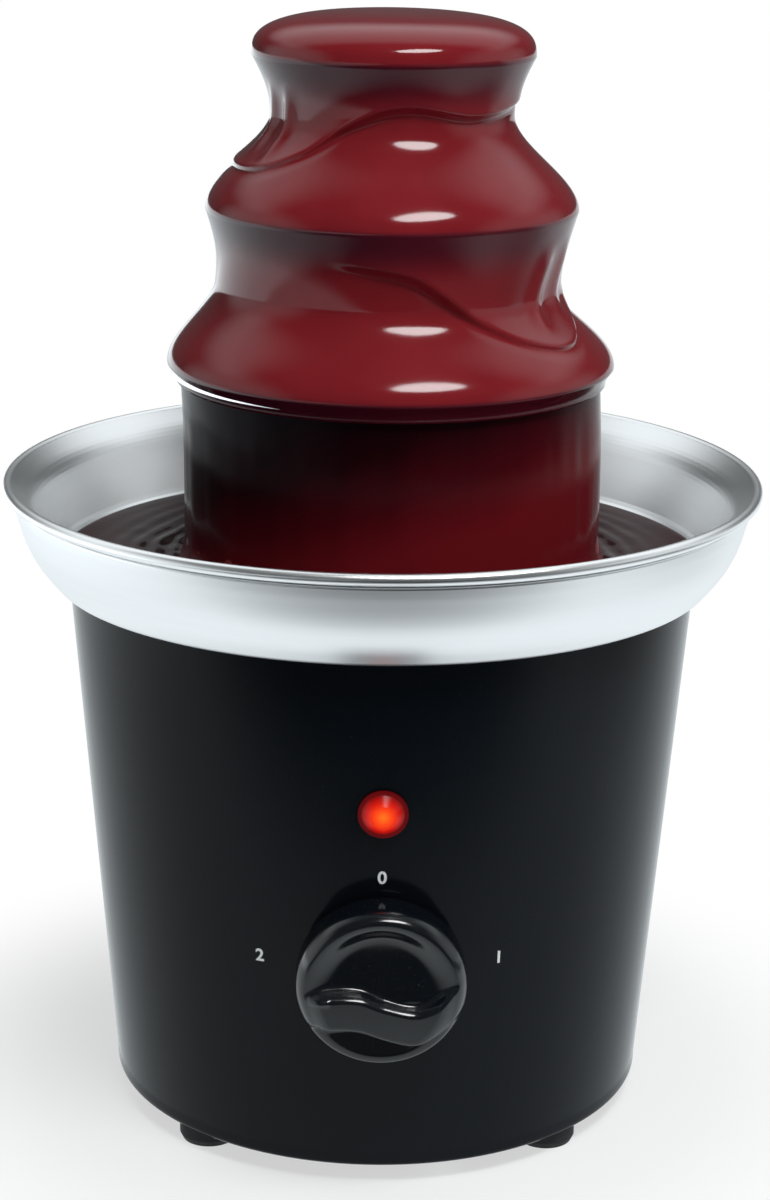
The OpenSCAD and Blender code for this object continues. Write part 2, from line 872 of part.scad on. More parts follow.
module motor_screws() {
    color("silver")
    at_motor_screws() {
        translate([0, 0, case_z + case_t])
            cylinder(r = screw_head_r - screw_head_trim, h = case_gap / 2, $fn = small_fn);
        translate([0, 0, case_z - 2 * can_t])
            cylinder(r = screw_r, h = case_t + 2 * can_t, $fn = small_fn);
    }
}

// Front fittings, drawn with +Z along their own axis

module rotary_switch() {
    color([0.16, 0.16, 0.17])
    on_front(knob_z)
        difference() {
            union() {
                translate([-switch_w / 2, -switch_w / 2, switch_back_z - switch_d])
                    cube([switch_w, switch_w, switch_d]);
                translate([0, 0, switch_back_z])
                    cylinder(r = bushing_r, h = bushing_out - switch_back_z, $fn = small_fn);
                for (side = [-1, 0, 1]) {
                    translate([side * switch_w / 3 - switch_tab_w / 2, 0, tab_z])
                        cube([switch_tab_w, switch_tab_t, 2 * switch_tab_l]);
                }
            }
            translate([0, 0, spindle_z])
                cylinder(r = spindle_r + running_fit, h = bushing_out + cut - spindle_z, $fn = small_fn);
        }
}

module switch_nut() {
    color("silver")
    on_front(knob_z)
        translate([0, 0, -spot_depth])
            difference() {
                cylinder(r = switch_nut_r, h = switch_nut_h, $fn = hex_fn);
                translate([0, 0, -cut])
                    cylinder(r = bushing_r + running_fit, h = switch_nut_h + 2 * cut, $fn = small_fn);
            }
}

module switch_spindle() {
    color("silver")
    on_front(knob_z)
        translate([0, 0, spindle_z + loose_fit])
            cylinder(r = spindle_r, h = knob_gap + knob_skirt_h - spindle_z - loose_fit, $fn = small_fn);
}

// The grip: a bar across the knob whose two sides swing in one wave
module grip_outline() {
    wave = [for (k = [0:wave_steps])
        let (share = 2 * k / wave_steps - 1)
        [knob_r * share, -grip_wave * sin(180 * share)]];
    half = [0, grip_w / 2];
    polygon(concat([for (p = wave) p - half], [for (p = reversed(wave)) p + half]));
}

module knob() {
    face_z = knob_gap + knob_skirt_h;
    top_z = knob_gap + knob_h;
    side = bent([
        [knob_r, knob_gap],
        [knob_r - knob_edge / 2, face_z],
        [knob_r - 3 * knob_edge, face_z]], knob_edge);
    cap = bent([
        [knob_r - 2 * knob_edge, knob_gap + hub_pocket_h],
        [knob_r - 3 * knob_edge, top_z - 2 * knob_face_drop],
        [0, top_z]], 3 * knob_edge);
    color([0.07, 0.07, 0.08])
    on_front(knob_z)
        difference() {
            union() {
                difference() {
                    rotate_extrude($fn = round_fn)
                        polygon(concat([[0, knob_gap]], side, [[0, face_z]]));
                    intersection() {
                        translate([0, 0, face_z - scoop_depth + scoop_r])
                            sphere(r = scoop_r, $fn = round_fn);
                        cylinder(r = knob_r - 2 * knob_edge, h = 2 * scoop_r, $fn = round_fn);
                    }
                }
                intersection() {
                    translate([0, 0, knob_gap + hub_pocket_h / 2])
                        linear_extrude(knob_h)
                            grip_outline();
                    rotate_extrude($fn = round_fn)
                        polygon(concat([[0, knob_gap]], [[knob_r - 2 * knob_edge, knob_gap]], cap));
                }
            }
            translate([0, 0, knob_gap - cut])
                cylinder(r = hub_pocket_r, h = hub_pocket_h - spot_depth + cut, $fn = round_fn);
            translate([0, 0, knob_gap])
                cylinder(r = spindle_r + running_fit, h = knob_skirt_h + running_fit, $fn = small_fn);
        }
}

module lamp_lens() {
    color([0.95, 0.25, 0.12])
    on_front(lamp_z)
        difference() {
            union() {
                translate([0, 0, -lens_l])
                    cylinder(r = lamp_r - slip_fit, h = lens_l + loose_fit, $fn = small_fn);
                translate([0, 0, loose_fit])
                    cylinder(r = lamp_r + lens_flange, h = lens_flange_t, $fn = round_fn);
                translate([0, 0, loose_fit + lens_flange_t])
                    cylinder(r1 = lamp_r, r2 = lamp_r * lens_tip_share, h = lens_rise, $fn = round_fn);
            }
            translate([0, 0, -lens_l - cut])
                cylinder(r = lens_bore_r, h = lens_l + cut, $fn = small_fn);
        }
}

module lamp_holder() {
    color([0.2, 0.2, 0.2])
    on_front(lamp_z)
        translate([0, 0, holder_z - holder_l])
            difference() {
                cylinder(r = holder_r, h = holder_l, $fn = round_fn);
                translate([0, 0, holder_floor])
                    cylinder(r = lamp_r, h = holder_l, $fn = small_fn);
            }
}

module lamp_bulb() {
    color([1, 0.6, 0.35])
    on_front(lamp_z)
        translate([0, 0, holder_z - holder_l + holder_floor])
            cylinder(r = bulb_r, h = bulb_l, $fn = small_fn);
}

module cord_gland() {
    inner_z = -housing_wall - 2 * loose_fit;
    color([0.07, 0.07, 0.07])
    on_wall(gland_z, 90)
        difference() {
            union() {
                translate([0, 0, loose_fit])
                    cylinder(r = gland_flange_r, h = gland_flange_t, $fn = round_fn);
                translate([0, 0, inner_z - gland_flange_t])
                    cylinder(r = gland_r, h = gland_flange_t - inner_z + loose_fit, $fn = round_fn);
                translate([0, 0, inner_z - gland_flange_t])
                    cylinder(r = gland_flange_r, h = gland_flange_t, $fn = round_fn);
            }
            translate([0, 0, inner_z - gland_flange_t - cut])
                cylinder(r = gland_bore_r, h = 3 * gland_flange_t - inner_z + 2 * cut, $fn = round_fn);
        }
}

module terminal_block() {
    color([0.88, 0.88, 0.84])
    translate([-block_l / 2, block_y - block_w / 2, housing_z])
        difference() {
            cube([block_l, block_w, block_h]);
            for (i = [0:2]) {
                translate([block_l * (2 * i + 1) / 6, block_w / 2, block_h / 2])
                    cylinder(r = block_screw_r + slip_fit, h = block_h, $fn = small_fn);
                translate([block_l * (2 * i + 1) / 6, -cut, block_h / 3])
                    rotate([-90, 0, 0])
                        cylinder(r = block_screw_r, h = block_w / 2, $fn = small_fn);
            }
        }
}

module terminal_screws() {
    color("silver")
    for (i = [-1:1]) {
        translate([i * block_l / 3, block_y, housing_z + block_h / 2])
            cylinder(r = block_screw_r, h = block_h / 3, $fn = small_fn);
    }
}

// Chocolate

// The outside of the flow, from the pool up to the middle of the crown, moved in by inset
function flow_path(inset, rise) = concat(
    [[curtain_r - inset, pool_z], [curtain_r - inset, pool_z + curtain_h]],
    passage([curtain_r - inset, pool_z + curtain_h], [lower_lip_r - inset, lower_lip_z]),
    passage([lower_lip_r - inset, lower_lip_z], [lower_neck_r - inset, lower_neck_z]),
    passage([lower_neck_r - inset, lower_neck_z], [middle_lip_r - inset, middle_lip_z]),
    passage([middle_lip_r - inset, middle_lip_z], [middle_neck_r - inset, middle_neck_z]),
    passage([middle_neck_r - inset, middle_neck_z], [top_lip_r - inset, top_lip_z]),
    [for (k = [1:crown_steps])
        let (a = 90 * k / crown_steps) [(top_lip_r - inset) * cos(a), top_lip_z + rise * sin(a)]]);

module chocolate_flow() {
    color([0.33, 0.11, 0.08])
    rotate_extrude($fn = round_fn)
        polygon(concat(
            flow_path(0, crown_rise),
            reversed(flow_path(coat_t, crown_rise * crown_gap_share))));
}

module chocolate_pool() {
    bath = beside(wet_path, pool_gap);
    color([0.28, 0.1, 0.07])
    rotate_extrude($fn = round_fn)
        intersection() {
            polygon(concat(bath, [[0, rim_z], [0, floor_z + pool_gap]]));
            translate([flange_r + tube_step, 0])
                square([rim_r, pool_z]);
        }
}

// Tower

function tube_step_r(n) = tube_r - n * tube_step;
lower_seat_z = lower_neck_z + dome_rise - collar_h;
middle_seat_z = middle_neck_z + dome_rise - collar_h;
top_collar_share = 0.6;
top_seat_z = top_lip_z + tier_t / 2 - collar_h * top_collar_share;

module tower_tube() {
    color([0.8, 0.8, 0.8])
    difference() {
        rotate_extrude($fn = round_fn)
            polygon([
                [tube_bore_r, floor_z],
                [flange_r, floor_z],
                [flange_r, floor_z + flange_t],
                [foot_cone_r, floor_z + flange_t],
                [tube_r, floor_z + foot_cone_h],
                [tube_r, lower_seat_z],
                [tube_step_r(1), lower_seat_z],
                [tube_step_r(1), middle_seat_z],
                [tube_step_r(2), middle_seat_z],
                [tube_step_r(2), top_seat_z],
                [tube_step_r(3), top_seat_z],
                [tube_step_r(3), tube_top_z],
                [tube_bore_r, tube_top_z]]);
        around(3, peg_first_deg, peg_circle_r)
            translate([0, 0, floor_z - cut])
                cylinder(r = peg_r + loose_fit, h = flange_t + 2 * cut, $fn = small_fn);
        around(3, peg_first_deg + 60, tube_bore_r - 2 * cut)
            translate([0, 0, floor_z + flange_t + window_r])
                rotate([0, 90, 0])
                    cylinder(r = window_r, h = foot_cone_r, $fn = small_fn);
    }
}

// One tier: a collar that slips over the tube and a dome that ends in a drip edge
module tier(bore_r, seat_z, hub_z, neck, lip) {
    hub = [bore_r + slip_fit, hub_z];
    dome = [for (k = [0:ease_steps - 1])
        let (a = 90 * k / ease_steps)
        [hub[0] + (neck[0] - hub[0]) * sin(a), neck[1] + (hub_z - neck[1]) * cos(a)]];
    path = concat(dome, [neck], passage(neck, lip), [[lip[0], lip[1] - drip_h]]);
    under = beside(path, -tier_t);
    collar = [[hub[0] + collar_t, under[1][1]], [hub[0] + collar_t, seat_z], [hub[0], seat_z]];
    rotate_extrude($fn = round_fn)
        polygon(concat(path, [for (i = [len(path) - 1:-1:1]) under[i]], collar));
}

tier_inset = coat_t + tier_gap;

module lower_tier() {
    color([0.82, 0.82, 0.84])
    tier(tube_step_r(1), lower_seat_z, lower_neck_z + dome_rise,
        [lower_neck_r - tier_inset, lower_neck_z], [lower_lip_r - tier_inset, lower_lip_z]);
}

module middle_tier() {
    color([0.82, 0.82, 0.84])
    tier(tube_step_r(2), middle_seat_z, middle_neck_z + dome_rise,
        [middle_neck_r - tier_inset, middle_neck_z], [middle_lip_r - tier_inset, middle_lip_z]);
}

module top_tier() {
    color([0.82, 0.82, 0.84])
    tier(tube_step_r(3), top_seat_z, top_lip_z + tier_t / 2,
        [top_lip_r - 3 * tier_inset, top_lip_z],
        [top_lip_r - tier_inset - 3 * tier_gap, top_lip_z - top_rim_drop]);
}

module auger() {
    start_z = shaft_top_z;
    turns = (auger_top_z - start_z) / auger_pitch;
    blade_deg = 360 * flight_t / auger_pitch;
    color([0.9, 0.9, 0.88])
    difference() {
        translate([0, 0, start_z])
            linear_extrude(
                auger_top_z - start_z,
                twist = -360 * turns,
                slices = round(turns * slices_per_turn))
                union() {
                    circle(r = auger_core_r, $fn = core_fn);
                    polygon(concat([[0, 0]], [for (k = [0:3])
                        let (a = blade_deg * k / 3) flight_r * [cos(a), sin(a)]]));
                }
        translate([0, 0, start_z - cut])
            cylinder(r = hex_r + slip_fit, h = hex_h + 2 * cut, $fn = hex_fn);
    }
}

// Drive

// Involute spur gear with a tooth centred on +X
function involute_deg(r, base_r) = let (a = acos(min(1, base_r / r))) tan(a) * 180 / PI - a;
function gear_points(teeth, size) =
    let (
        pitch_r = size * teeth / 2,
        base_r = pitch_r * cos(pressure_deg),
        out_r = pitch_r + size * addendum_share,
        root_r = pitch_r - size * dedendum_share,
        low_r = max(base_r, root_r),
        half_deg = 90 / teeth + involute_deg(pitch_r, base_r) - backlash_share / teeth * 180 / PI,
        flank = concat(
            [[root_r, half_deg - involute_deg(low_r, base_r)]],
            [for (k = [0:flank_steps])
                let (r = low_r + (out_r - low_r) * k / flank_steps)
                [r, half_deg - involute_deg(r, base_r)]]))
    [for (t = [0:teeth - 1])
        let (mid = 360 * t / teeth)
        for (p = concat(
            [for (f = flank) [f[0], mid - f[1]]],
            reversed([for (f = flank) [f[0], mid + f[1]]])))
            p[0] * [cos(p[1]), sin(p[1])]];

module gear(teeth, size, h) {
    linear_extrude(h)
        polygon(gear_points(teeth, size));
}

module drive_shaft() {
    color("silver")
    union() {
        translate([0, 0, case_z])
            cylinder(r = shaft_r, h = shaft_top_z - case_z, $fn = round_fn);
        translate([0, 0, shaft_top_z])
            cylinder(r = hex_r, h = hex_h, $fn = hex_fn);
    }
}

module output_gear() {
    color([0.92, 0.9, 0.84])
    rotate([0, 0, wheel_deg])
        translate([0, 0, slow_z])
            difference() {
                union() {
                    gear(slow_wheel_teeth, slow_module, gear_w);
                    translate([0, 0, -case_gap / 2])
                        cylinder(r = hub_r, h = gear_w, $fn = round_fn);
                }
                translate([0, 0, -case_gap])
                    cylinder(r = shaft_r + running_fit, h = gear_w + 2 * case_gap, $fn = round_fn);
            }
}

module shaft_clip() {
    color("silver")
    translate([0, 0, slow_z + gear_w])
        ring(clip_r, shaft_r + running_fit, clip_t);
}

module intermediate_gear() {
    color([0.86, 0.84, 0.76])
    translate(concat(mid_at, [fast_z]))
        difference() {
            union() {
                rotate([0, 0, motor_deg])
                    gear(fast_wheel_teeth, fast_module, gear_w);
                rotate([0, 0, wheel_deg + 180 + 180 / slow_teeth])
                    translate([0, 0, gear_w / 2])
                        gear(slow_teeth, slow_module, 3 * gear_w / 2 + case_gap);
                translate([0, 0, slip_fit - case_gap])
                    cylinder(r = pin_r + bush_t, h = case_gap + gear_w / 2, $fn = small_fn);
            }
            translate([0, 0, -case_gap - cut])
                cylinder(r = pin_r + running_fit, h = 2 * gear_w + 2 * case_gap + 2 * cut, $fn = small_fn);
        }
}

module motor_pinion() {
    color([0.8, 0.62, 0.3])
    translate(concat(motor_at, [fast_z]))
        rotate([0, 0, motor_deg + 180 + 180 / fast_teeth])
            difference() {
                gear(fast_teeth, fast_module, gear_w);
                translate([0, 0, -cut])
                    cylinder(r = rotor_shaft_r + running_fit, h = gear_w + 2 * cut, $fn = small_fn);
            }
}

module motor_rotor() {
    color([0.7, 0.4, 0.25])
    translate(concat(motor_at, [can_z + can_t / 2 + slip_fit])) {
        cylinder(r = rotor_shaft_r, h = fast_z + gear_w - can_z - can_t / 2 - slip_fit, $fn = small_fn);
        translate([0, 0, rotor_end])
            cylinder(r = rotor_r, h = motor_h - 2 * rotor_end - 2 * can_t, $fn = round_fn);
    }
}

housing();
bottom_cover();
foot(0);  // foot_1
foot(1);  // foot_2
foot(2);  // foot_3
foot(3);  // foot_4
cover_screws();
bowl_pan();
bowl_skirt();
bowl_studs();
stud_spacers();
stud_nuts();
tower_pegs();
shaft_seal();
heater_ring();
heat_shield();
thermostat();
thermal_fuse();
mounting_plate();
gearbox_case();
gearbox_lid();
gearbox_screws();
gear_pin();
upper_bush();
lower_bush();
motor_can();
motor_end_cap();
motor_magnets();
motor_screws();
rotary_switch();
switch_nut();
lamp_lens();
lamp_holder();
lamp_bulb();
cord_gland();
terminal_block();
terminal_screws();
chocolate_pool();
drive_shaft();
output_gear();
shaft_clip();
intermediate_gear();
motor_rotor();
motor_pinion();
tower_tube();
lower_tier();
middle_tier();
top_tier();
chocolate_flow();
auger();
knob();
switch_spindle();
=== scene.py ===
# %% [markdown]
# # A chocolate fountain, dressed for its picture
# The fountain comes as a imported CAD model: a tapered plastic base, a steel bowl, and a
# tower that chocolate runs down. This lesson puts the looks on it. Blender counts in
# metres, with the origin on the table under the middle of the base and the knob at -Y.
# We load the model first.

import json
import math

import bpy
from mathutils import Euler, Matrix, Vector, noise


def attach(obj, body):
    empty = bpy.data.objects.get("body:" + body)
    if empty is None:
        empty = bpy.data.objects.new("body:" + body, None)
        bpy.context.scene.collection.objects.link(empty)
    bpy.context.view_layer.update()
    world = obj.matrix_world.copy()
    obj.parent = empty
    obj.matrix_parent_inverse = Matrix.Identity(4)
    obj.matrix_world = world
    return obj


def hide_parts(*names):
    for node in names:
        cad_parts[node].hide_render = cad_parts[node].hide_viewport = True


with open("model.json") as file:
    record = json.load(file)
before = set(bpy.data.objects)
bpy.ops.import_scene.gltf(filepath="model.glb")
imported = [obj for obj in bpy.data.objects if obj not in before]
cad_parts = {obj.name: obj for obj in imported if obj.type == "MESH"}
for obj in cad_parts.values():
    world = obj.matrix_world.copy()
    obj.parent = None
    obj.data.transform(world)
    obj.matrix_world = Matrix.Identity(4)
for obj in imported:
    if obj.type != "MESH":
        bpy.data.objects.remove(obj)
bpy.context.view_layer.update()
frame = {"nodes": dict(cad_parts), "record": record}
MM = 0.001

# %% [markdown]
# ## The camera
# The picture was taken from a little above the bowl, from two thirds of a metre. The
# place, tilt and lens below were found from the ellipses of the rim and of the tiers.
# The frame is upright, so Blender counts the sensor's width along the picture's height.

# %% Place the camera
PICTURE_H = 1200
FOCAL_PIXELS = 2753
SHIFT_PIXELS = 3.8
SENSOR = 36.0
CAMERA_REACH, CAMERA_Z = 0.674, 0.3287
LOOK_DOWN, TURN, LEAN = 16.5, -0.8, 0.7
camera_data = bpy.data.cameras.new("picture_camera")
camera_data.sensor_width = SENSOR
camera_data.lens = FOCAL_PIXELS / PICTURE_H * SENSOR
camera_data.shift_x = SHIFT_PIXELS / PICTURE_H
camera = bpy.data.objects.new("picture_camera", camera_data)
bpy.context.scene.collection.objects.link(camera)
turn = Matrix.Rotation(math.radians(TURN), 3, "Z")
look_down = Euler((math.radians(90 - LOOK_DOWN), 0, 0)).to_matrix()
lean = Matrix.Rotation(math.radians(LEAN), 3, "Z")
camera.location = turn @ Vector((0, -CAMERA_REACH, CAMERA_Z))
camera.rotation_euler = (turn @ look_down @ lean).to_euler()
bpy.context.scene.camera = camera
bpy.context.scene.view_settings.view_transform = "Standard"
print("lens", round(camera_data.lens, 1), "mm")

# %% [markdown]
# ## Sums on shader sockets
# A finish is mostly arithmetic on noise and places. Wiring Math nodes by hand is slow to
# read, so a small class wraps a socket and lets Python's own signs add the nodes.


# %% A socket that can be added and multiplied
class Value:
    """A socket in a node tree. Each sum on it adds one Math node."""

    def __init__(self, tree, socket):
        self.tree = tree
        self.socket = socket

    def math(self, operation, *others):
        sockets = {i + 1: other for i, other in enumerate(others)}
        return self.tree.node("ShaderNodeMath", {"operation": operation}, {0: self, **sockets})

    def __add__(self, other):
        return self.math("ADD", other)

    def __sub__(self, other):
        return self.math("SUBTRACT", other)

    def __rsub__(self, other):
        return self.tree.node("ShaderNodeMath", {"operation": "SUBTRACT"}, {0: other, 1: self})

    def __mul__(self, other):
        return self.math("MULTIPLY", other)

    def __truediv__(self, other):
        return self.math("DIVIDE", other)

    __radd__ = __add__
    __rmul__ = __mul__


# %% [markdown]
# ## Node trees
# Materials and the world are both trees of nodes. One method adds any node: it takes the
# node's type, its settings, and the values or links of its sockets. Settings come first,
# because some of them change which sockets a node has.


# %% A node tree with one way to add a node
class Nodes:
    """The node tree of a material or of the world."""

    def __init__(self, owner):
        owner.use_nodes = True
        self.tree = owner.node_tree
        self.nodes = owner.node_tree.nodes

    def node(self, kind, settings, sockets, output=0):
        """Adds a node, sets it, and feeds its sockets with values or links."""
        made = self.nodes.new(kind)
        for setting, value in settings.items():
            if setting == "stops":
                for _ in value[2:]:
                    made.color_ramp.elements.new(0.5)
                for element, (position, colour) in zip(made.color_ramp.elements, value):
                    element.position = position
                    element.color = (*colour, 1)
            else:
                setattr(made, setting, value)
        for socket, value in sockets.items():
            self.feed(made.inputs[socket], value)
        return Value(self, made.outputs[output])

    def feed(self, socket, value):
        if isinstance(value, Value):
            self.tree.links.new(value.socket, socket)
        else:
            socket.default_value = value

    def axes(self, place):
        """The three parts of a place or direction."""
        return [self.node("ShaderNodeSeparateXYZ", {}, {0: place}, axis) for axis in "XYZ"]

    def fade(self, value, low, high, at_low, at_high):
        """Goes softly from one level to another while a value goes from low to high."""
        sockets = {"Value": value, "From Min": low, "From Max": high}
        sockets.update({"To Min": at_low, "To Max": at_high})
        return self.node("ShaderNodeMapRange", {"interpolation_type": "SMOOTHSTEP"}, sockets)

    def blend(self, factor, first, second):
        """A colour between two others."""
        sockets = {0: factor, 6: first, 7: second}
        return self.node("ShaderNodeMix", {"data_type": "RGBA"}, sockets, 2)

    def ray(self, kind):
        """1 for rays of one kind, such as those from the camera."""
        return self.node("ShaderNodeLightPath", {}, {}, "Is " + kind + " Ray")


# %% [markdown]
# A finish is one material. Its constants sit on the shader's own sockets, and its
# patterns are drawn by places on the object, in metres, so they stay where they are when
# a piece moves or the camera goes round.


# %% A finish
class Finish(Nodes):
    """One material: constants on its shader, and patterns by places on the object."""

    def __init__(self, name, constants):
        self.material = bpy.data.materials.new(name)
        super().__init__(self.material)
        self.shader = self.nodes["Principled BSDF"]
        for socket, value in constants.items():
            self.shader.inputs[socket].default_value = value
        self.place = self.node("ShaderNodeTexCoord", {}, {}, "Object")

    def noise(self, scale, detail=2.0, at=None):
        """Smooth noise from 0 to 1, with about scale waves to the metre."""
        sockets = {"Vector": at or self.place, "Scale": scale, "Detail": detail}
        return self.node("ShaderNodeTexNoise", {}, sockets)

    def ramp(self, factor, stops):
        return self.node("ShaderNodeValToRGB", {"stops": stops}, {"Fac": factor})

    def joined(self, x, y, z):
        return self.node("ShaderNodeCombineXYZ", {}, {0: x, 1: y, 2: z})

    def set(self, socket, value):
        self.feed(self.shader.inputs[socket], value)

    def bump(self, height, depth):
        """Raises the surface by height times depth, in metres."""
        sockets = {"Height": height, "Distance": depth, "Strength": 1.0}
        self.set("Normal", self.node("ShaderNodeBump", {}, sockets))


def rgb(red, green, blue):
    return (red, green, blue, 1)


WHITE = rgb(1, 1, 1)

# %% [markdown]
# ## The studio
# The fountain stands on a wide sheet of white paper. A plain plane is enough for it. It
# belongs to the picture and not to the fountain.

# %% Floor
FLOOR_SIZE = 12
bpy.ops.object.select_all(action="DESELECT")
bpy.ops.mesh.primitive_plane_add(size=FLOOR_SIZE)
floor = bpy.context.object
floor.name = "studio_floor"
print("floor:", FLOOR_SIZE, "m wide")

# %% [markdown]
# The paper catches a soft shadow. To the camera it is white, fully so a little away from
# the fountain. In reflections it is white at the sides and close by, and dark far in
# front, where a photographer stands in a dark room. So steel stays bright and black
# plastic black. Light Path tells the rays apart, and adds no light to the object.

# %% Paper
paper = Finish("studio_paper", {"Roughness": 1.0, "Specular IOR Level": 0.0})
paper.set("Base Color", rgb(0.8, 0.83, 0.83))
x, y, z = paper.axes(paper.place)
around = (x * x + y * y).math("SQRT")
seen = paper.ray("Camera").math("MAXIMUM", paper.ray("Transmission"))
mirrored = paper.ray("Glossy")
# In front the mirrored floor is dark beyond 0.31 m and white from 0.13 m inwards.
front = paper.fade(y, -0.31, -0.13, 0.03, 1.02)
# At the right it turns white towards the back, and at the left all along.
right = paper.fade(y, 0.0, 0.35, 0.2, 1.0)
left = paper.fade(x, -0.6, -0.28, 0.95, 0)
shine = front + (right - front) * paper.fade(x, 0.25, 0.5, 0, 1) + left
shine = shine * mirrored + (1 - mirrored)
tint = paper.blend(mirrored, WHITE, rgb(0.9, 0.965, 1.0))
glow = paper.node("ShaderNodeEmission", {}, {"Color": tint, "Strength": shine})
share = seen * paper.fade(around, 0.08, 0.16, 0.6, 1.0) + mirrored
plain = Value(paper, paper.shader.outputs[0])
both = paper.node("ShaderNodeMixShader", {}, {0: share, 1: plain, 2: glow})
paper.feed(paper.nodes["Material Output"].inputs["Surface"], both)
floor.data.materials.append(paper.material)
print("nodes of the paper:", len(paper.nodes))

# %% [markdown]
# The room is white to the camera and gives a weak even light. In mirrors it has a bright
# wall at each side, which draws the pale lines down the edges of the base and tower, and
# a bright upper part at the back. The rest is dark, so the front of the base stays black.

# %% World
EVEN_LIGHT = 0.24
world = bpy.data.worlds.new("studio")
bpy.context.scene.world = world
room = Nodes(world)
direction = room.node("ShaderNodeTexCoord", {}, {}, "Generated")
x, y, z = room.axes(direction)
in_mirror = room.ray("Glossy")
to_camera = room.ray("Camera")
side_light = room.fade(x, 0.7, 0.98, 0.1, 0.8) + room.fade(x, -0.98, -0.7, 0.9, 0)
back_light = room.fade(z, 0.34, 0.6, 0, 1.0) * room.fade(y, -0.15, 0.3, 0, 1)
level = (side_light + back_light) * in_mirror + EVEN_LIGHT * (1 - in_mirror)
level = level * (1 - to_camera) + to_camera
sky = room.blend(in_mirror, WHITE, rgb(0.93, 0.98, 1.0))
room.feed(room.nodes["Background"].inputs["Color"], sky)
room.feed(room.nodes["Background"].inputs["Strength"], level)
print("nodes of the world:", len(room.nodes))

# %% [markdown]
# One narrow softbox, high and a little to the right, leaves a bar of light on each bulge
# of chocolate. A large lamp overhead and a fill at the right only brighten: they are
# hidden from mirrors, because their outlines would show on the wet skin.


# %% Lamps
LIT_POINT = Vector((0, 0, 0.2))


def softbox(name, azimuth, elevation, reach, width, height, power, in_mirrors):
    """An area lamp that looks at the tower from a direction in degrees, 0 at the front."""
    across, up = math.radians(azimuth), math.radians(elevation)
    side, forward, flat = math.sin(across), math.cos(across), math.cos(up)
    way = Vector((side * flat, -forward * flat, math.sin(up)))
    data = bpy.data.lights.new(name, "AREA")
    data.shape = "ELLIPSE"
    data.size, data.size_y, data.energy = width, height, power
    lamp = bpy.data.objects.new(name, data)
    bpy.context.scene.collection.objects.link(lamp)
    lamp.location = LIT_POINT + way * reach
    lamp.rotation_euler = way.to_track_quat("Z", "Y").to_euler()
    lamp.visible_glossy = in_mirrors


softbox("key_softbox", 26, 55, 1.0, 0.54, 0.27, 7.0, True)
softbox("overhead_softbox", 20, 82, 1.3, 1.2, 1.2, 6.5, False)
softbox("right_fill", 65, 30, 1.3, 0.9, 0.9, 2.5, False)

# %% [markdown]
# ## Finishes
# Each slot of the record gets its own finish. Only base colour, roughness, the pilot
# lamp's glow and the bump change over a surface, and the rest are constants. Moulded
# plastic is never quite even: gloss shows smears, settled dust and a faint swell.


# %% Glossy plastic
DUST_FROM = 0.735


def gloss_plastic(name, gloss):
    finish = Finish(name, {"Specular IOR Level": gloss})
    smears = finish.noise(38, 4)
    specks = finish.noise(2600, 1).math("GREATER_THAN", DUST_FROM)
    clean, dusty = rgb(0.003, 0.0043, 0.0064), rgb(0.03, 0.033, 0.036)
    finish.set("Base Color", finish.blend(specks * 0.25, clean, dusty))
    finish.set("Roughness", 0.1 + smears * 0.09 + specks * 0.3)
    finish.bump(finish.noise(55, 1) + finish.noise(900, 2) * 0.02, 0.00004)
    return finish.material


# %% [markdown]
# Matt plastic and ceramic have a grain instead of a gloss, and rubber is rougher still
# and worn pale in places.


# %% Matt plastic and rubber
def matt_plastic(name, dark, light, grain):
    finish = Finish(name, {"Specular IOR Level": 0.4})
    finish.set("Base Color", finish.blend(finish.noise(90, 4), rgb(*dark), rgb(*light)))
    finish.set("Roughness", 0.42 + finish.noise(220, 3) * 0.2)
    finish.bump(finish.noise(grain, 3), 0.00003)
    return finish.material


def rubber(name, dark, light):
    finish = Finish(name, {"Specular IOR Level": 0.35})
    worn = finish.noise(260, 5)
    finish.set("Base Color", finish.blend(worn, rgb(*dark), rgb(*light)))
    finish.set("Roughness", 0.6 + worn * 0.25)
    finish.bump(finish.noise(3200, 3), 0.00008)
    return finish.material


# %% [markdown]
# The bowl and tiers were polished while they turned, so their brushing runs in rings.
# The noise is stretched for that: it changes fast from ring to ring and slowly round the
# axis. Small metal parts only get stains.


# %% Metals
LINES_TO_THE_METRE = 5200
BRUSH_DEPTH = 0.0000012


def brushed_round_axis(name, colour, low, high):
    """Steel brushed in rings: the lines are fine across the section, long round the axis."""
    finish = Finish(name, {"Metallic": 1.0, "Specular IOR Level": 0.5})
    x, y, z = finish.axes(finish.place)
    radius = (x * x + y * y).math("SQRT") + 0.00001
    across = (radius + z * 1.37) * LINES_TO_THE_METRE
    lines = finish.noise(1, 3, finish.joined(x / radius * 5, y / radius * 5, across))
    wide = finish.joined(x / radius * 1.5, y / radius * 1.5, across * 0.06)
    bands = finish.noise(1, 2, wide)
    cloud = finish.noise(30, 3)
    tint = [c * 0.9 for c in colour]
    finish.set("Base Color", finish.blend(lines * 0.6 + bands * 0.4, rgb(*tint), rgb(*colour)))
    finish.set("Roughness", low + lines * (high - low) * 0.6 + cloud * (high - low) * 0.4)
    finish.bump(lines, BRUSH_DEPTH)
    return finish.material


def plain_metal(name, dark, light, rough):
    finish = Finish(name, {"Metallic": 1.0})
    stains = finish.noise(170, 5)
    finish.set("Base Color", finish.blend(stains, rgb(*dark), rgb(*light)))
    finish.set("Roughness", rough + stains * 0.18)
    finish.bump(finish.noise(1500, 2), 0.00001)
    return finish.material
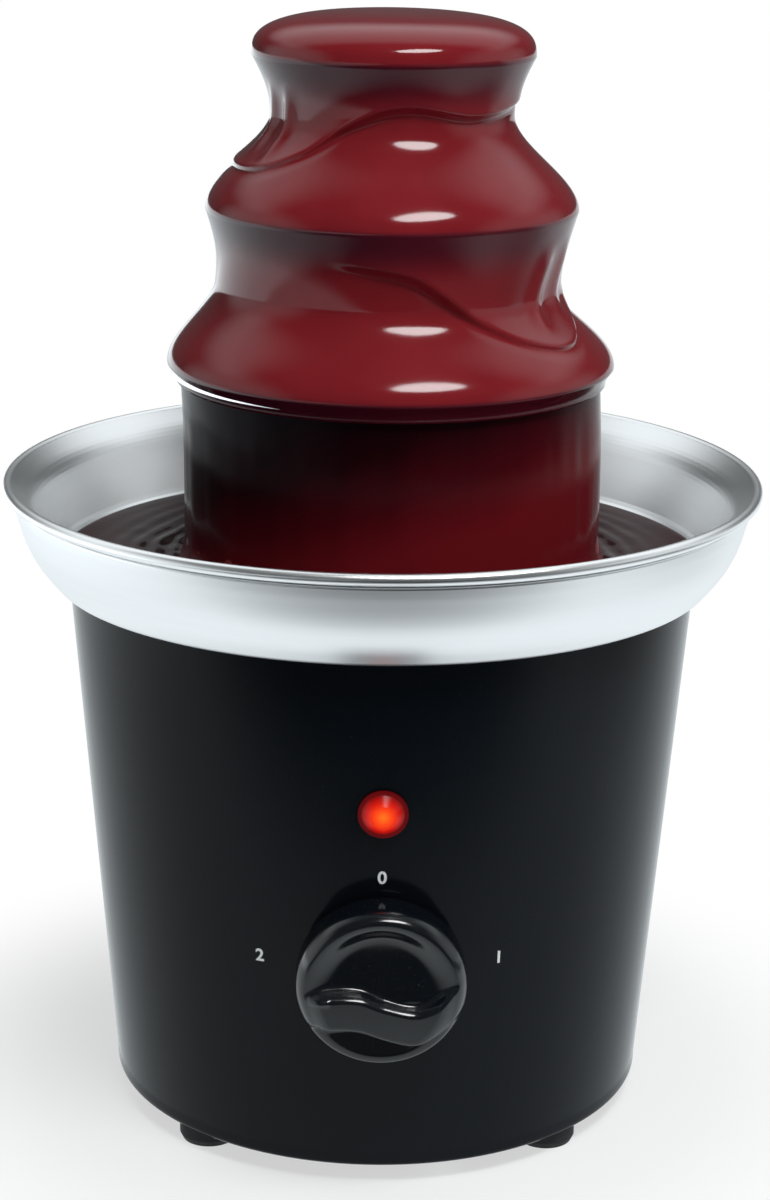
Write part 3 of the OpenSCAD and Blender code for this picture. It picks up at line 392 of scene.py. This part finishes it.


# %% [markdown]
# ## Chocolate
# Melted chocolate is a red-brown body under a very smooth wet skin. On the tower the
# flow is thick and warm in colour. Under each lip it gets a painted shade, dark purple and
# stronger on the left, where little light comes in. This painted shade follows the height
# of each lip, so it is not painted on by hand.

# %% Flowing chocolate
CHOCOLATE_IOR = 1.46
LIPS_Z = (191.4, 229.5, 266.5)
HOLLOW_H = 12


def flowing_chocolate():
    """Warm on top of each tier, with a dark purple painted shade just under each lip."""
    constants = {"Specular IOR Level": 0.4, "IOR": CHOCOLATE_IOR}
    finish = Finish("flowing_chocolate", constants)
    x, y, z = finish.axes(finish.place)
    streaks = finish.noise(1, 3, finish.joined(x * 60, y * 60, z * 14))
    warm = finish.blend(streaks, rgb(0.13, 0.006, 0.0095), rgb(0.178, 0.0105, 0.0145))
    # Painted shade: under each lip the base colour is blended to dark purple, more on the left.
    hollow = 0
    for lip in LIPS_Z:
        low, high = (lip - HOLLOW_H) * MM, (lip - 1.5) * MM
        under_lip_shade = finish.fade(z + streaks * 0.002, low, high, 0, 1)
        hollow = hollow + under_lip_shade * finish.fade(z, (lip - 0.2) * MM, (lip + 1.2) * MM, 1, 0)
    shade = finish.fade(x, -0.04, 0.04, 0.92, 0.72)
    finish.set("Base Color", finish.blend(hollow * shade, warm, rgb(0.028, 0.003, 0.01)))
    finish.set("Roughness", 0.08 + streaks * 0.06)
    finish.bump(finish.noise(1, 2, finish.joined(x * 110, y * 110, z * 30)), 0.00003)
    return finish.material


# %% [markdown]
# The curtain below is a thin sheet. Its colour carries painted shade: nearly black under the
# lip and on the left, and painted lighter red towards its foot and to the right, so one ramp
# over height and side is enough.


# %% Falling chocolate
def falling_chocolate():
    """The curtain, with painted shade: nearly black at the top left, red at the foot and on the
    right.
    """
    constants = {"Specular IOR Level": 0.04, "IOR": CHOCOLATE_IOR}
    finish = Finish("falling_chocolate", constants)
    x, y, z = finish.axes(finish.place)
    streaks = finish.noise(1, 3, finish.joined(x * 60, y * 60, z * 10))
    # Painted light and shade: the ramp darkens the top and the left, and lightens the foot and
    # the right.
    painted_light_level = z * -1.0 + x * 0.35 + streaks * 0.012
    colour = finish.ramp(
        finish.fade(painted_light_level, -0.195, -0.135, 0, 1),
        [
            (0.0, (0.004, 0.0012, 0.003)),
            (0.3, (0.012, 0.001, 0.0025)),
            (0.62, (0.05, 0.0022, 0.005)),
            (0.9, (0.12, 0.006, 0.009)),
        ],
    )
    finish.set("Base Color", colour)
    finish.set("Roughness", 0.12 + streaks * 0.1)
    finish.bump(finish.noise(1, 2, finish.joined(x * 110, y * 110, z * 20)), 0.00005)
    return finish.material


# %% [markdown]
# The bath in the bowl is deep, and reads as almost black with a brown cloud here and
# there. Its skin shines little: seen this low, a stronger one would turn it grey.


# %% Resting chocolate
def resting_chocolate():
    constants = {"Specular IOR Level": 0.02, "IOR": CHOCOLATE_IOR}
    finish = Finish("resting_chocolate", constants)
    clouds = finish.noise(60, 4)
    deep, brown = rgb(0.009, 0.0012, 0.0022), rgb(0.03, 0.0022, 0.004)
    finish.set("Base Color", finish.blend(clouds, deep, brown))
    finish.set("Roughness", 0.07 + clouds * 0.08)
    finish.bump(finish.noise(240, 2), 0.00005)
    return finish.material


# %% [markdown]
# ## The pilot lamp
# The lamp and the knob sit on the tapered wall, so its radius at a height and its tilt
# are worked out first, in mm.

# %% The wall
WALL_BOTTOM_Z, WALL_TOP_Z = 8.6, 137.7
WALL_BOTTOM_R, WALL_TOP_R = 68.7, 79.0
WALL_SLOPE = (WALL_TOP_R - WALL_BOTTOM_R) / (WALL_TOP_Z - WALL_BOTTOM_Z)
WALL_TILT = math.atan(WALL_SLOPE)


def wall_radius(height):
    return WALL_BOTTOM_R + (height - WALL_BOTTOM_Z) * WALL_SLOPE


print("tilt of the wall:", round(math.degrees(WALL_TILT), 2), "degrees")

# %% [markdown]
# The lamp glows from a point behind its lens: orange-red in the middle and dark red at
# the edge. The distance from the lens's own axis gives the fall-off, as a glow in the
# material, because a real lamp inside would need a clear lens and many more rays.

# %% Glowing lens
LAMP_Z = 100.0
LENS_R = 5.6


def glowing_lens():
    constants = {"Emission Strength": 1.0, "Roughness": 0.25, "Specular IOR Level": 0.12}
    finish = Finish("pilot_lamp_red", constants)
    x, y, z = finish.axes(finish.place)
    rise = z - LAMP_Z * MM
    off = (x * x + rise * rise).math("SQRT") / (LENS_R * MM)
    cells = finish.noise(1500, 1)
    glow = finish.ramp(
        off + cells * 0.06,
        [
            (0.0, (1.0, 0.2, 0.012)),
            (0.38, (1.0, 0.06, 0.006)),
            (0.66, (0.6, 0.008, 0.004)),
            (0.95, (0.09, 0.001, 0.002)),
        ],
    )
    finish.set("Emission Color", glow)
    # Painted light: the base colour is also lighter in the middle, where the bulb shines
    # through.
    finish.set("Base Color", finish.blend(off, rgb(0.1, 0.004, 0.002), rgb(0.03, 0.001, 0.001)))
    return finish.material


# %% [markdown]
# ## A finish for each slot
# The record names a slot for each CAD node. One table gives each slot its finish, also
# for the parts inside that only show when the tower is lifted or a cover is off.

# %% Finish of each slot
finishes = {
    "black_plastic": gloss_plastic("black_gloss_plastic", 0.12),
    "foot_rubber": rubber("foot_rubber", (0.006, 0.006, 0.006), (0.02, 0.02, 0.02)),
    "seal_rubber": rubber("seal_rubber", (0.3, 0.05, 0.03), (0.42, 0.09, 0.05)),
    "bowl_steel": brushed_round_axis("bowl_steel", (0.96, 0.97, 0.975), 0.24, 0.38),
    "tier_steel": brushed_round_axis("tier_steel", (0.78, 0.79, 0.8), 0.18, 0.34),
    "tube_plastic": matt_plastic("tube_plastic", (0.7, 0.69, 0.65), (0.8, 0.79, 0.76), 900),
    "fastener_steel": plain_metal(
        "fastener_steel", (0.45, 0.45, 0.46), (0.66, 0.66, 0.68), 0.22
    ),
    "sheet_metal": plain_metal("sheet_metal", (0.42, 0.43, 0.44), (0.6, 0.61, 0.62), 0.34),
    "ceramic": matt_plastic("fired_ceramic", (0.6, 0.56, 0.48), (0.72, 0.69, 0.62), 1800),
    "fuse_metal": plain_metal("fuse_metal", (0.6, 0.6, 0.64), (0.74, 0.74, 0.78), 0.2),
    "gear_plastic": matt_plastic("gear_nylon", (0.66, 0.63, 0.54), (0.76, 0.74, 0.66), 1200),
    "brass": plain_metal("turned_brass", (0.5, 0.34, 0.12), (0.7, 0.5, 0.22), 0.2),
    "dark_plastic": matt_plastic(
        "dark_plastic", (0.015, 0.015, 0.018), (0.03, 0.03, 0.034), 1400
    ),
    "magnet": plain_metal("ferrite", (0.05, 0.05, 0.055), (0.1, 0.1, 0.11), 0.5),
    "rotor_metal": plain_metal("rotor_iron", (0.28, 0.15, 0.09), (0.42, 0.24, 0.15), 0.36),
    "lamp_red": glowing_lens(),
    "bulb_glass": matt_plastic("bulb_glass", (0.8, 0.4, 0.2), (0.9, 0.5, 0.28), 500),
    "chocolate": flowing_chocolate(),
}
for part in frame["record"]["subparts"]:
    node = frame["nodes"][part["node"]]
    node.data.materials.clear()
    node.data.materials.append(finishes[part["material_slot"]])
print("finishes:", len(finishes))


# %% [markdown]
# ## A lathe
# Bowl, tower and curtain are round about one axis. A section drawn as a closed row of
# points and spun round that axis gives a clean closed body. Blender's spin leaves double
# points at the seam and on the axis, so these are merged and the faces turned outwards.


# %% Lathe helper
MERGE_WITHIN = 0.0000012


def lathe(name, section, steps):
    """Spins a closed section of (radius, height) points in mm round the Z axis."""
    bpy.ops.object.select_all(action="DESELECT")
    bpy.ops.mesh.primitive_circle_add(vertices=len(section), radius=0.1)
    piece = bpy.context.object
    piece.name = piece.data.name = name
    for vertex, (radius, height) in zip(piece.data.vertices, section):
        vertex.co = (0, -radius * MM, height * MM)
    bpy.ops.object.mode_set(mode="EDIT")
    bpy.ops.mesh.select_all(action="SELECT")
    bpy.ops.mesh.spin(steps=steps, angle=math.tau, center=(0, 0, 0), axis=(0, 0, 1))
    bpy.ops.mesh.select_all(action="SELECT")
    bpy.ops.mesh.remove_doubles(threshold=MERGE_WITHIN)
    bpy.ops.mesh.delete_loose()
    bpy.ops.mesh.select_all(action="SELECT")
    bpy.ops.mesh.normals_make_consistent(inside=False)
    bpy.ops.object.mode_set(mode="OBJECT")
    bpy.ops.object.shade_smooth()
    return piece


def report(piece):
    triangles = sum(len(face.vertices) - 2 for face in piece.data.polygons)
    print(piece.name, "triangles:", triangles)


# %% [markdown]
# ## The flowing chocolate
# Three tiers push the flow outwards, and each lip throws it clear of the neck below. The
# real skin is one smooth surface, so its section is drawn with close rings: full and
# round above a lip, turning under sharply at it, and hollow at a neck. STOPS holds the
# radius and height of each lip and neck in turn, in mm.

# %% Measures of the flow
STOPS = [
    (53.2, 187.2),
    (55.3, 191.4),
    (41.7, 211.3),
    (45.4, 229.5),
    (29.3, 252.5),
    (34.2, 266.5),
]
CROWN_R, CROWN_Z = STOPS[-1]
CROWN_RISE = 10.2
CROWN_POWER = 2.85
CROWN_RINGS = 34
RING_GAP = 0.62
SKIN = 2.2
INNER_STRIDE = 6
FLOW_STEPS = 256
print("lips and necks:", len(STOPS), "height of the crown:", CROWN_Z + CROWN_RISE, "mm")

# %% [markdown]
# Between two stops the skin goes softly down over a tier, and curls in fast under a lip.
# The crown closes it with a curve that is fuller than a quarter circle, because the
# chocolate wells up there before it falls.


# %% Outside of the flow
def eased(share):
    """Goes softly from 0 to 1 while share does, and stays there beyond."""
    share = min(max(share, 0), 1)
    return share * share * (3 - 2 * share)


def flow_outside():
    """Points of the outside, from the lowest lip up to the middle of the crown."""
    points = []
    for (r0, z0), (r1, z1) in zip(STOPS, STOPS[1:]):
        rings = round(math.hypot(r1 - r0, z1 - z0) / RING_GAP)
        for k in range(rings):
            share = k / rings
            undercut = 1 - math.cos(share * math.pi / 2)
            out = undercut if r1 > r0 else eased(share)
            points.append((r0 + (r1 - r0) * out, z0 + (z1 - z0) * share))
    for k in range(CROWN_RINGS):
        a = math.radians(90 * k / CROWN_RINGS)
        out, up = math.cos(a) ** (2 / CROWN_POWER), math.sin(a) ** (2 / CROWN_POWER)
        points.append((CROWN_R * out, CROWN_Z + CROWN_RISE * up))
    return points + [(0, CROWN_Z + CROWN_RISE)]


# %% [markdown]
# A wall a few mm inwards, with fewer points, makes the skin a closed body. Its marks are
# noted, so that the sculpting later leaves the inner wall alone.

# %% Body of the flow
outside = flow_outside()
inside = [(r - SKIN, z) for r, z in outside if z < CROWN_Z][::INNER_STRIDE]
inside += [(CROWN_R - SKIN - 2, CROWN_Z + 1), (0, CROWN_Z + 2)]
inner_marks = {(round(r, 1), round(z, 1)) for r, z in inside}
flow = lathe("flowing_chocolate", outside + inside[::-1], FLOW_STEPS)
report(flow)

# %% [markdown]
# One sheet of chocolate slides over another. Each sheet's edge is given as a few places
# round the tower, in degrees from the front and millimetres of height, with a smooth
# curve through them. Above the edge the flow is thicker by a step, which fades upwards.
# Where a sheet ends at the side of the tower it gathers in an upright cord of chocolate.

# %% Places of the sheets and cords
# Each sheet has its edge, its step and the height over which the step fades, in mm.
SHEETS = [
    (
        [(-125, 243), (-100, 241), (-60, 241), (-40, 245), (-22, 251.6), (3, 256.4), (37, 254),
         (65, 255), (95, 258)],
        1.6,
        8.0,
    ),
    (
        [(-22, 222), (4, 219.4), (16, 214.6), (29, 208.1), (44, 202.5), (60, 200.4), (76, 204),
         (100, 213), (120, 218)],
        1.8,
        9.0,
    ),
]
# Each cord has its middle and spread in degrees, its low and high end and depth in mm.
CORDS = [
    (-58, 4, 241, 262, 1.2),
    (-74, 4, 242, 262, 0.9),
    (54, 4, 202, 226, 1.1),
    (70, 4, 203, 226, 0.7),
]
print("sheets:", len(SHEETS), "cords:", len(CORDS))

# %% [markdown]
# The edge must have no corner where two places meet, because the wet skin would show it
# as a crack. So between two places the curve starts and ends with the slope that its
# neighbours give.


# %% A smooth curve
def smooth_through(places, at):
    """The value at a place on a smooth curve through pairs of place and value."""
    k = max(i for i in range(len(places) - 1) if places[i][0] <= at)
    (x0, y0), (x1, y1) = places[k], places[k + 1]
    before, after = places[max(k - 1, 0)], places[min(k + 2, len(places) - 1)]
    slope0 = (y1 - before[1]) / (x1 - before[0]) * (x1 - x0)
    slope1 = (after[1] - y0) / (after[0] - x0) * (x1 - x0)
    t = (at - x0) / (x1 - x0)
    bend = (2 * t ** 3 - 3 * t ** 2 + 1) * y0 + (3 * t ** 2 - 2 * t ** 3) * y1
    return bend + (t ** 3 - 2 * t ** 2 + t) * slope0 + (t ** 3 - t ** 2) * slope1


# %% [markdown]
# A wave is the sum of three things: a slow swell all over, the step of each sheet with a
# fine groove just below it, and the cords. Each fades out softly at its ends.

# %% Height of the waves
STAND_OUT, SWELL, SWELL_H = 0.25, 0.3, 55
STEP_FROM, STEP_WIDTH = 0.8, 1.7
GROOVE, GROOVE_BELOW, GROOVE_WIDTH = 0.3, 1.6, 1.0
SHEET_END_FADE = 26
CORD_SLANT = 0.25


def flow_wave(azimuth, height):
    """How far the skin stands out at a place, in mm."""
    across = math.radians(azimuth)
    x, y = math.sin(across), math.cos(across)
    out = STAND_OUT + SWELL * noise.noise(Vector((x * 1.6, y * 1.6, height / SWELL_H)))
    for places, step, fade in SHEETS:
        ends = min(azimuth - places[0][0], places[-1][0] - azimuth)
        if ends > 0:
            above = height - smooth_through(places, azimuth)
            rolled = step * eased((above + STEP_FROM) / STEP_WIDTH)
            rolled *= math.exp(-max(above, 0) / fade)
            groove = GROOVE * math.exp(-(((above + GROOVE_BELOW) / GROOVE_WIDTH) ** 2))
            out += eased(ends / SHEET_END_FADE) * (rolled - groove)
    for middle, spread, low, high, depth in CORDS:
        away = (azimuth - middle - (height - low) * CORD_SLANT) / spread
        window = eased((height - low) / 6) * eased((high - height) / 8)
        out += depth * window * math.exp(-away * away)
    return out


# %% [markdown]
# The skin is sculpted by moving its points in code, which keeps it closed. Points move
# straight out from the axis, and the whole flow hangs a little to the right, as in the
# picture. Towards the middle of the crown the moves die away, and the inner wall stays.

# %% Waves on the flow
LEAN_RIGHT, LEAN_MORE, LEAN_FROM_Z, LEAN_OVER = 1.3, 0.8, 225, 80
NECK_HOLLOW_Z, NECK_HOLLOW, NECK_SPREAD = 208, 1.6, 9
CALM_R = 26


def lean_at(height):
    """How far the flow hangs to the right of the tower, in mm."""
    hollow = math.exp(-(((height - NECK_HOLLOW_Z) / NECK_SPREAD) ** 2))
    lower = eased((LEAN_FROM_Z - height) / LEAN_OVER)
    return LEAN_RIGHT + LEAN_MORE * lower - NECK_HOLLOW * hollow


def polar(point):
    """Azimuth in degrees from the front, radius and height in mm."""
    azimuth = math.degrees(math.atan2(point.x, -point.y))
    return azimuth, math.hypot(point.x, point.y) / MM, point.z / MM


def outwards(point):
    return Vector((point.x, point.y, 0)).normalized()


for vertex in flow.data.vertices:
    azimuth, radius, height = polar(vertex.co)
    if (round(radius, 1), round(height, 1)) in inner_marks or radius < 0.01:
        continue
    calm = eased(radius / CALM_R) if height > CROWN_Z else 1
    vertex.co += outwards(vertex.co) * flow_wave(azimuth, height) * calm * MM
    vertex.co.x += lean_at(height) * calm * MM
flow.data.materials.append(finishes["chocolate"])
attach(flow, "tower")
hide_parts("chocolate_flow")
print("the crown hangs", round(lean_at(CROWN_Z), 1), "mm to the right")

# %% [markdown]
# ## The curtain
# Below the lowest lip the chocolate falls free, as a thin round curtain. It is a sheet
# of its own, tucked up under the lip. It has long upright folds, and at its foot it
# swells and breaks into small ripples where it meets the bath. Noise that changes slowly
# with height and faster round the tower draws both.

# %% Curtain
POOL_Z = 141.0
FOOT_Z = 140.2
CURTAIN_R, CURTAIN_TOP_Z = 52.1, 188.0
CURTAIN_RINGS, CURTAIN_STEPS = 60, 288
FOLDS, FINE_FOLDS, FOLD_REACH = 0.55, 0.4, 16
FOOT_SWELL, FOOT_UNEVEN, FOOT_REACH = 1.5, 1.6, 7
CURTAIN_OUT, CURTAIN_LEAN = 0.1, 0.4
curtain_rise = (CURTAIN_TOP_Z - FOOT_Z) / CURTAIN_RINGS
curtain_section = [(CURTAIN_R, FOOT_Z + curtain_rise * k) for k in range(CURTAIN_RINGS + 1)]
curtain_section += [(50.6, CURTAIN_TOP_Z), (50.2, 180), (50.2, 165), (50.2, FOOT_Z)]
curtain = lathe("falling_curtain", curtain_section, CURTAIN_STEPS)
for vertex in curtain.data.vertices:
    azimuth, _, height = polar(vertex.co)
    x, y = math.sin(math.radians(azimuth)), math.cos(math.radians(azimuth))
    folds = noise.noise(Vector((x * 4, y * 4, height / 120 + 3)))
    folds += FINE_FOLDS * noise.noise(Vector((x * 11, y * 11, height / 90)))
    down = eased((CURTAIN_TOP_Z - height) / FOLD_REACH)
    foot = max(1 - (height - POOL_Z) / FOOT_REACH, 0) ** 2
    uneven = noise.noise(Vector((x * 4.5, y * 4.5, 1.5)))
    swell = foot * (FOOT_SWELL + FOOT_UNEVEN * uneven)
    vertex.co += outwards(vertex.co) * (CURTAIN_OUT + FOLDS * folds * down + swell) * MM
    vertex.co.x += (lean_at(height) + CURTAIN_LEAN * down) * MM
curtain.data.materials.append(falling_chocolate())
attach(curtain, "tower")
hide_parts("chocolate_flow")
report(curtain)

# %% [markdown]
# ## The chocolate in the bowl
# The bath fills the well and stands a little above the bowl's shoulder. Where the curtain
# meets it, ripples run outwards and die away before the wall. The underside follows the
# bowl, and the top gets close rings, because only there do points move.

# %% Bath
BATH_IN_R, BATH_OUT_R = 35.5, 81.8
BATH_RINGS, BATH_STEPS = 90, 220
RIPPLE, RIPPLE_TURN, RIPPLE_REACH = 0.45, 1.15, 8
LUMPS, LUMP_REACH = 0.5, 10
SWIRL, RIM_CALM = 2.5, 6
bath_section = [(BATH_IN_R, 119.2), (65.2, 119.2), (72.6, 139.6), (73.8, 140.2), (80.4, 140.2)]
for k in range(BATH_RINGS + 1):
    bath_section.append((BATH_OUT_R + (BATH_IN_R - BATH_OUT_R) * k / BATH_RINGS, POOL_Z))
bath = lathe("chocolate_bath", bath_section, BATH_STEPS)
for vertex in bath.data.vertices:
    _, radius, height = polar(vertex.co)
    # Only the top moves, and its outer edge stays on the wall.
    if height > POOL_Z - 0.05 and radius < BATH_OUT_R - 0.1:
        x, y = vertex.co.x / (radius * MM), vertex.co.y / (radius * MM)
        beyond = max(radius - CURTAIN_R, 0)
        swirl = SWIRL * noise.noise(Vector((x * 3, y * 3, radius / 30)))
        ripple = math.cos((beyond + swirl) * RIPPLE_TURN) * math.exp(-beyond / RIPPLE_REACH)
        lumps = noise.noise(Vector((x * 9, y * 9, radius / 9))) * math.exp(-beyond / LUMP_REACH)
        rim_calm = min((BATH_OUT_R - radius) / RIM_CALM, 1)
        vertex.co.z += (RIPPLE * ripple + LUMPS * lumps) * rim_calm * MM
bath.data.materials.append(resting_chocolate())
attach(bath, "base")
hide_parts("chocolate_pool")
report(bath)

# %% [markdown]
# ## The bowl's outer skin
# The bowl is pressed from thin steel, and its outer skin swells out from the base to the
# rolled rim. The skin is a mirror to the room, so a coarse section would show as bands.
# A smooth curve through the pressed shape's heights and radii is spun instead.

# %% Skirt
SKIRT_FOOT = [(77.8, 137.75), (81.4, 137.75), (82.2, 137.85), (82.8, 138.1)]
# The curve is given as height and radius, because the height is what steps evenly.
SKIRT_CURVE = [
    (138.4, 83.2),
    (142.1, 86.2),
    (145.3, 88.3),
    (149.3, 90.1),
    (155.5, 91.9),
    (159.6, 92.9),
]
SKIRT_WALL = 1.0
SKIRT_RINGS, BOWL_STEPS = 40, 256
skirt_low, skirt_high = SKIRT_CURVE[0][0], SKIRT_CURVE[-1][0]
skirt_outside = []
for k in range(SKIRT_RINGS):
    height = skirt_low + (skirt_high - skirt_low) * k / SKIRT_RINGS
    skirt_outside.append((smooth_through(SKIRT_CURVE, height), height))
skirt_inside = [(r - SKIRT_WALL, z + 0.3) for r, z in skirt_outside[::-4]]
skirt_section = SKIRT_FOOT + skirt_outside + skirt_inside + [(81.5, 138.7), (77.8, 138.7)]
skirt = lathe("bowl_outer_skin", skirt_section, BOWL_STEPS)
report(skirt)

# %% [markdown]
# The rim is rolled into a bead so that no edge cuts a hand. A round section, spun in the
# same way, gives it the thin bright line that runs right round the bowl.

# %% Bead
BEAD_R, BEAD_MIDDLE_R, BEAD_Z = 1.43, 93.6, 161.3
BEAD_POINTS = 28
bead_section = []
for k in range(BEAD_POINTS):
    a = math.tau * k / BEAD_POINTS
    bead_section.append((BEAD_MIDDLE_R + BEAD_R * math.cos(a), BEAD_Z + BEAD_R * math.sin(a)))
bead = lathe("rolled_rim_bead", bead_section, BOWL_STEPS)
for piece in (skirt, bead):
    piece.data.materials.append(finishes["bowl_steel"])
    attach(piece, "base")
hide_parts("bowl_skirt")
report(bead)

# %% [markdown]
# ## The knob
# The knob is one moulding: a round cap with a rolled rim and a grip whose crest runs
# across in a slow wave. Above the crest a steep flank drops into a hollow for the
# fingers. Below it the grip's face is nearly flat, and ends at a second hollow. On black
# only the rounded edges show, so their places matter most. All measures are in mm.

# %% Measures of the knob
KNOB_R = 20.2
KNOB_BACK, KNOB_RIM, GRIP_TOP = 1.2, 11.4, 14.4
# Places on the crest, to the right of and above the middle of the knob.
GRIP_LINE = [
    (-21, -2),
    (-12, -1.2),
    (-5, -1.4),
    (1, -3.6),
    (8, -5),
    (13, -3.2),
    (17, 0.3),
    (21, 4),
]
FLANK_DROP, FLANK_WIDTH = 5.4, 4
FACE_SLOPE, FACE_WIDTH, FACE_DROP, FACE_EDGE = 0.08, 6.5, 6, 3.5
GRIP_END_R, GRIP_END_WIDTH, GRIP_END_DROP = 14, 5.5, 3.4
HOLLOW_OUT, HOLLOW_SLOPE, LOWER_DROP = 11.2, 0.2, 2.4
RIM_FOOT_R, RIM_FOOT_WIDTH = 11.5, 6
POINTER_FROM, POINTER_TO, POINTER_RISE = -16.8, -12.3, 0.35
EDGE_R, EDGE_CURVE = 17.8, 0.55
print("knob:", 2 * KNOB_R, "mm across,", GRIP_TOP, "mm deep")

# %% [markdown]
# The shape of the face is a height worked out for each of its points: the larger of the
# dish and the grip, with the corner between them rounded, and rolled off at the edge. A
# small raised line at the left end of the grip points to the mark.


# %% Height of the knob's face
def softer_max(a, b, softness):
    """The larger of two heights, with the corner between them rounded."""
    return (a + b + math.hypot(a - b, softness)) / 2


def knob_height(u, v):
    """How far the face stands out over the wall, u to the right and v up, in mm."""
    reach = math.hypot(u, v)
    hollow = HOLLOW_OUT - HOLLOW_SLOPE * max(v, -2) - LOWER_DROP * eased((-v - 8) / 3)
    dish = hollow + (KNOB_RIM - hollow) * eased((reach - RIM_FOOT_R) / RIM_FOOT_WIDTH)
    above = v - smooth_through(GRIP_LINE, u)
    if above > 0:
        grip = GRIP_TOP - FLANK_DROP * eased(above / FLANK_WIDTH)
    else:
        edge = eased((-above - FACE_WIDTH) / FACE_EDGE)
        grip = GRIP_TOP - FACE_SLOPE * above - FACE_DROP * edge
    grip -= GRIP_END_DROP * eased((reach - GRIP_END_R) / GRIP_END_WIDTH)
    height = softer_max(dish, grip, 0.5)
    if POINTER_FROM < u < POINTER_TO:
        height += POINTER_RISE * (1 - eased((abs(above) - 0.3) / 0.4))
    return height - EDGE_CURVE * max(reach - EDGE_R, 0) ** 2


# %% [markdown]
# A finely ringed disc is spun on the lathe, its face is raised, and then the knob is
# stood up and set on the tapered wall, all in its mesh, so the object stays at the
# origin.

# %% Knob
KNOB_Z = 59.0
FACE_RINGS, KNOB_STEPS = 60, 180
FACE_Z = 9
face = [(KNOB_R * k / FACE_RINGS, FACE_Z) for k in range(FACE_RINGS + 1)]
side = [(KNOB_R, 7), (KNOB_R, 5), (KNOB_R, 3), (KNOB_R - 0.1, 1.6)]
back = [(KNOB_R - 0.5, KNOB_BACK), (0, KNOB_BACK)]
knob = lathe("wave_grip_knob", face + side + back, KNOB_STEPS)
for vertex in knob.data.vertices:
    if vertex.co.z > (FACE_Z - 1) * MM:
        vertex.co.z = knob_height(vertex.co.x / MM, vertex.co.y / MM) * MM
upright = Matrix.Rotation(math.radians(90) + WALL_TILT, 4, "X")
out_of_wall = Matrix.Translation((0, -wall_radius(KNOB_Z) * MM, KNOB_Z * MM))
knob.data.transform(out_of_wall @ upright)
knob.data.materials.append(gloss_plastic("knob_gloss_plastic", 0.6))
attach(knob, "knob")
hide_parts("knob")
report(knob)

# %% [markdown]
# ## Marks beside the knob
# Three plain numerals stand where the dial's marks are: 0 above the knob, 1 to its right
# and 2 to its left. They are printed in pale ink, a little worn.


# %% Ink
def printed_ink():
    finish = Finish("printed_ink", {"Specular IOR Level": 0.3})
    wear = finish.noise(1800, 3)
    finish.set("Base Color", finish.blend(wear, rgb(0.62, 0.64, 0.66), rgb(0.82, 0.84, 0.85)))
    finish.set("Roughness", 0.5 + wear * 0.2)
    return finish.material


# %% [markdown]
# Each numeral is type made into a mesh with a hair of thickness. It is stood upright,
# tilted with the wall, moved out to it, and turned round the axis to its place.

# %% Numerals
ink = printed_ink()
FIGURE_SIZE, INK_DEPTH, INK_SPREAD, INK_GAP = 4.4, 0.05, 0.1, 0.02


def numeral(figure, azimuth, height):
    bpy.ops.object.select_all(action="DESELECT")
    bpy.ops.object.text_add()
    mark = bpy.context.object
    mark.data.body = figure
    mark.data.size = FIGURE_SIZE * MM
    mark.data.extrude = INK_DEPTH * MM
    mark.data.offset = INK_SPREAD * MM
    mark.data.align_x = mark.data.align_y = "CENTER"
    bpy.ops.object.convert(target="MESH")
    out = Matrix.Translation((0, -(wall_radius(height) + INK_GAP) * MM, height * MM))
    mark.data.transform(Matrix.Rotation(math.radians(azimuth), 4, "Z") @ out @ upright)
    mark.name = mark.data.name = "numeral_" + figure
    mark.data.materials.append(ink)
    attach(mark, "base")
    report(mark)


numeral("0", 0, 83.2)
numeral("1", 22.8, 60.0)
numeral("2", -23.4, 60.0)
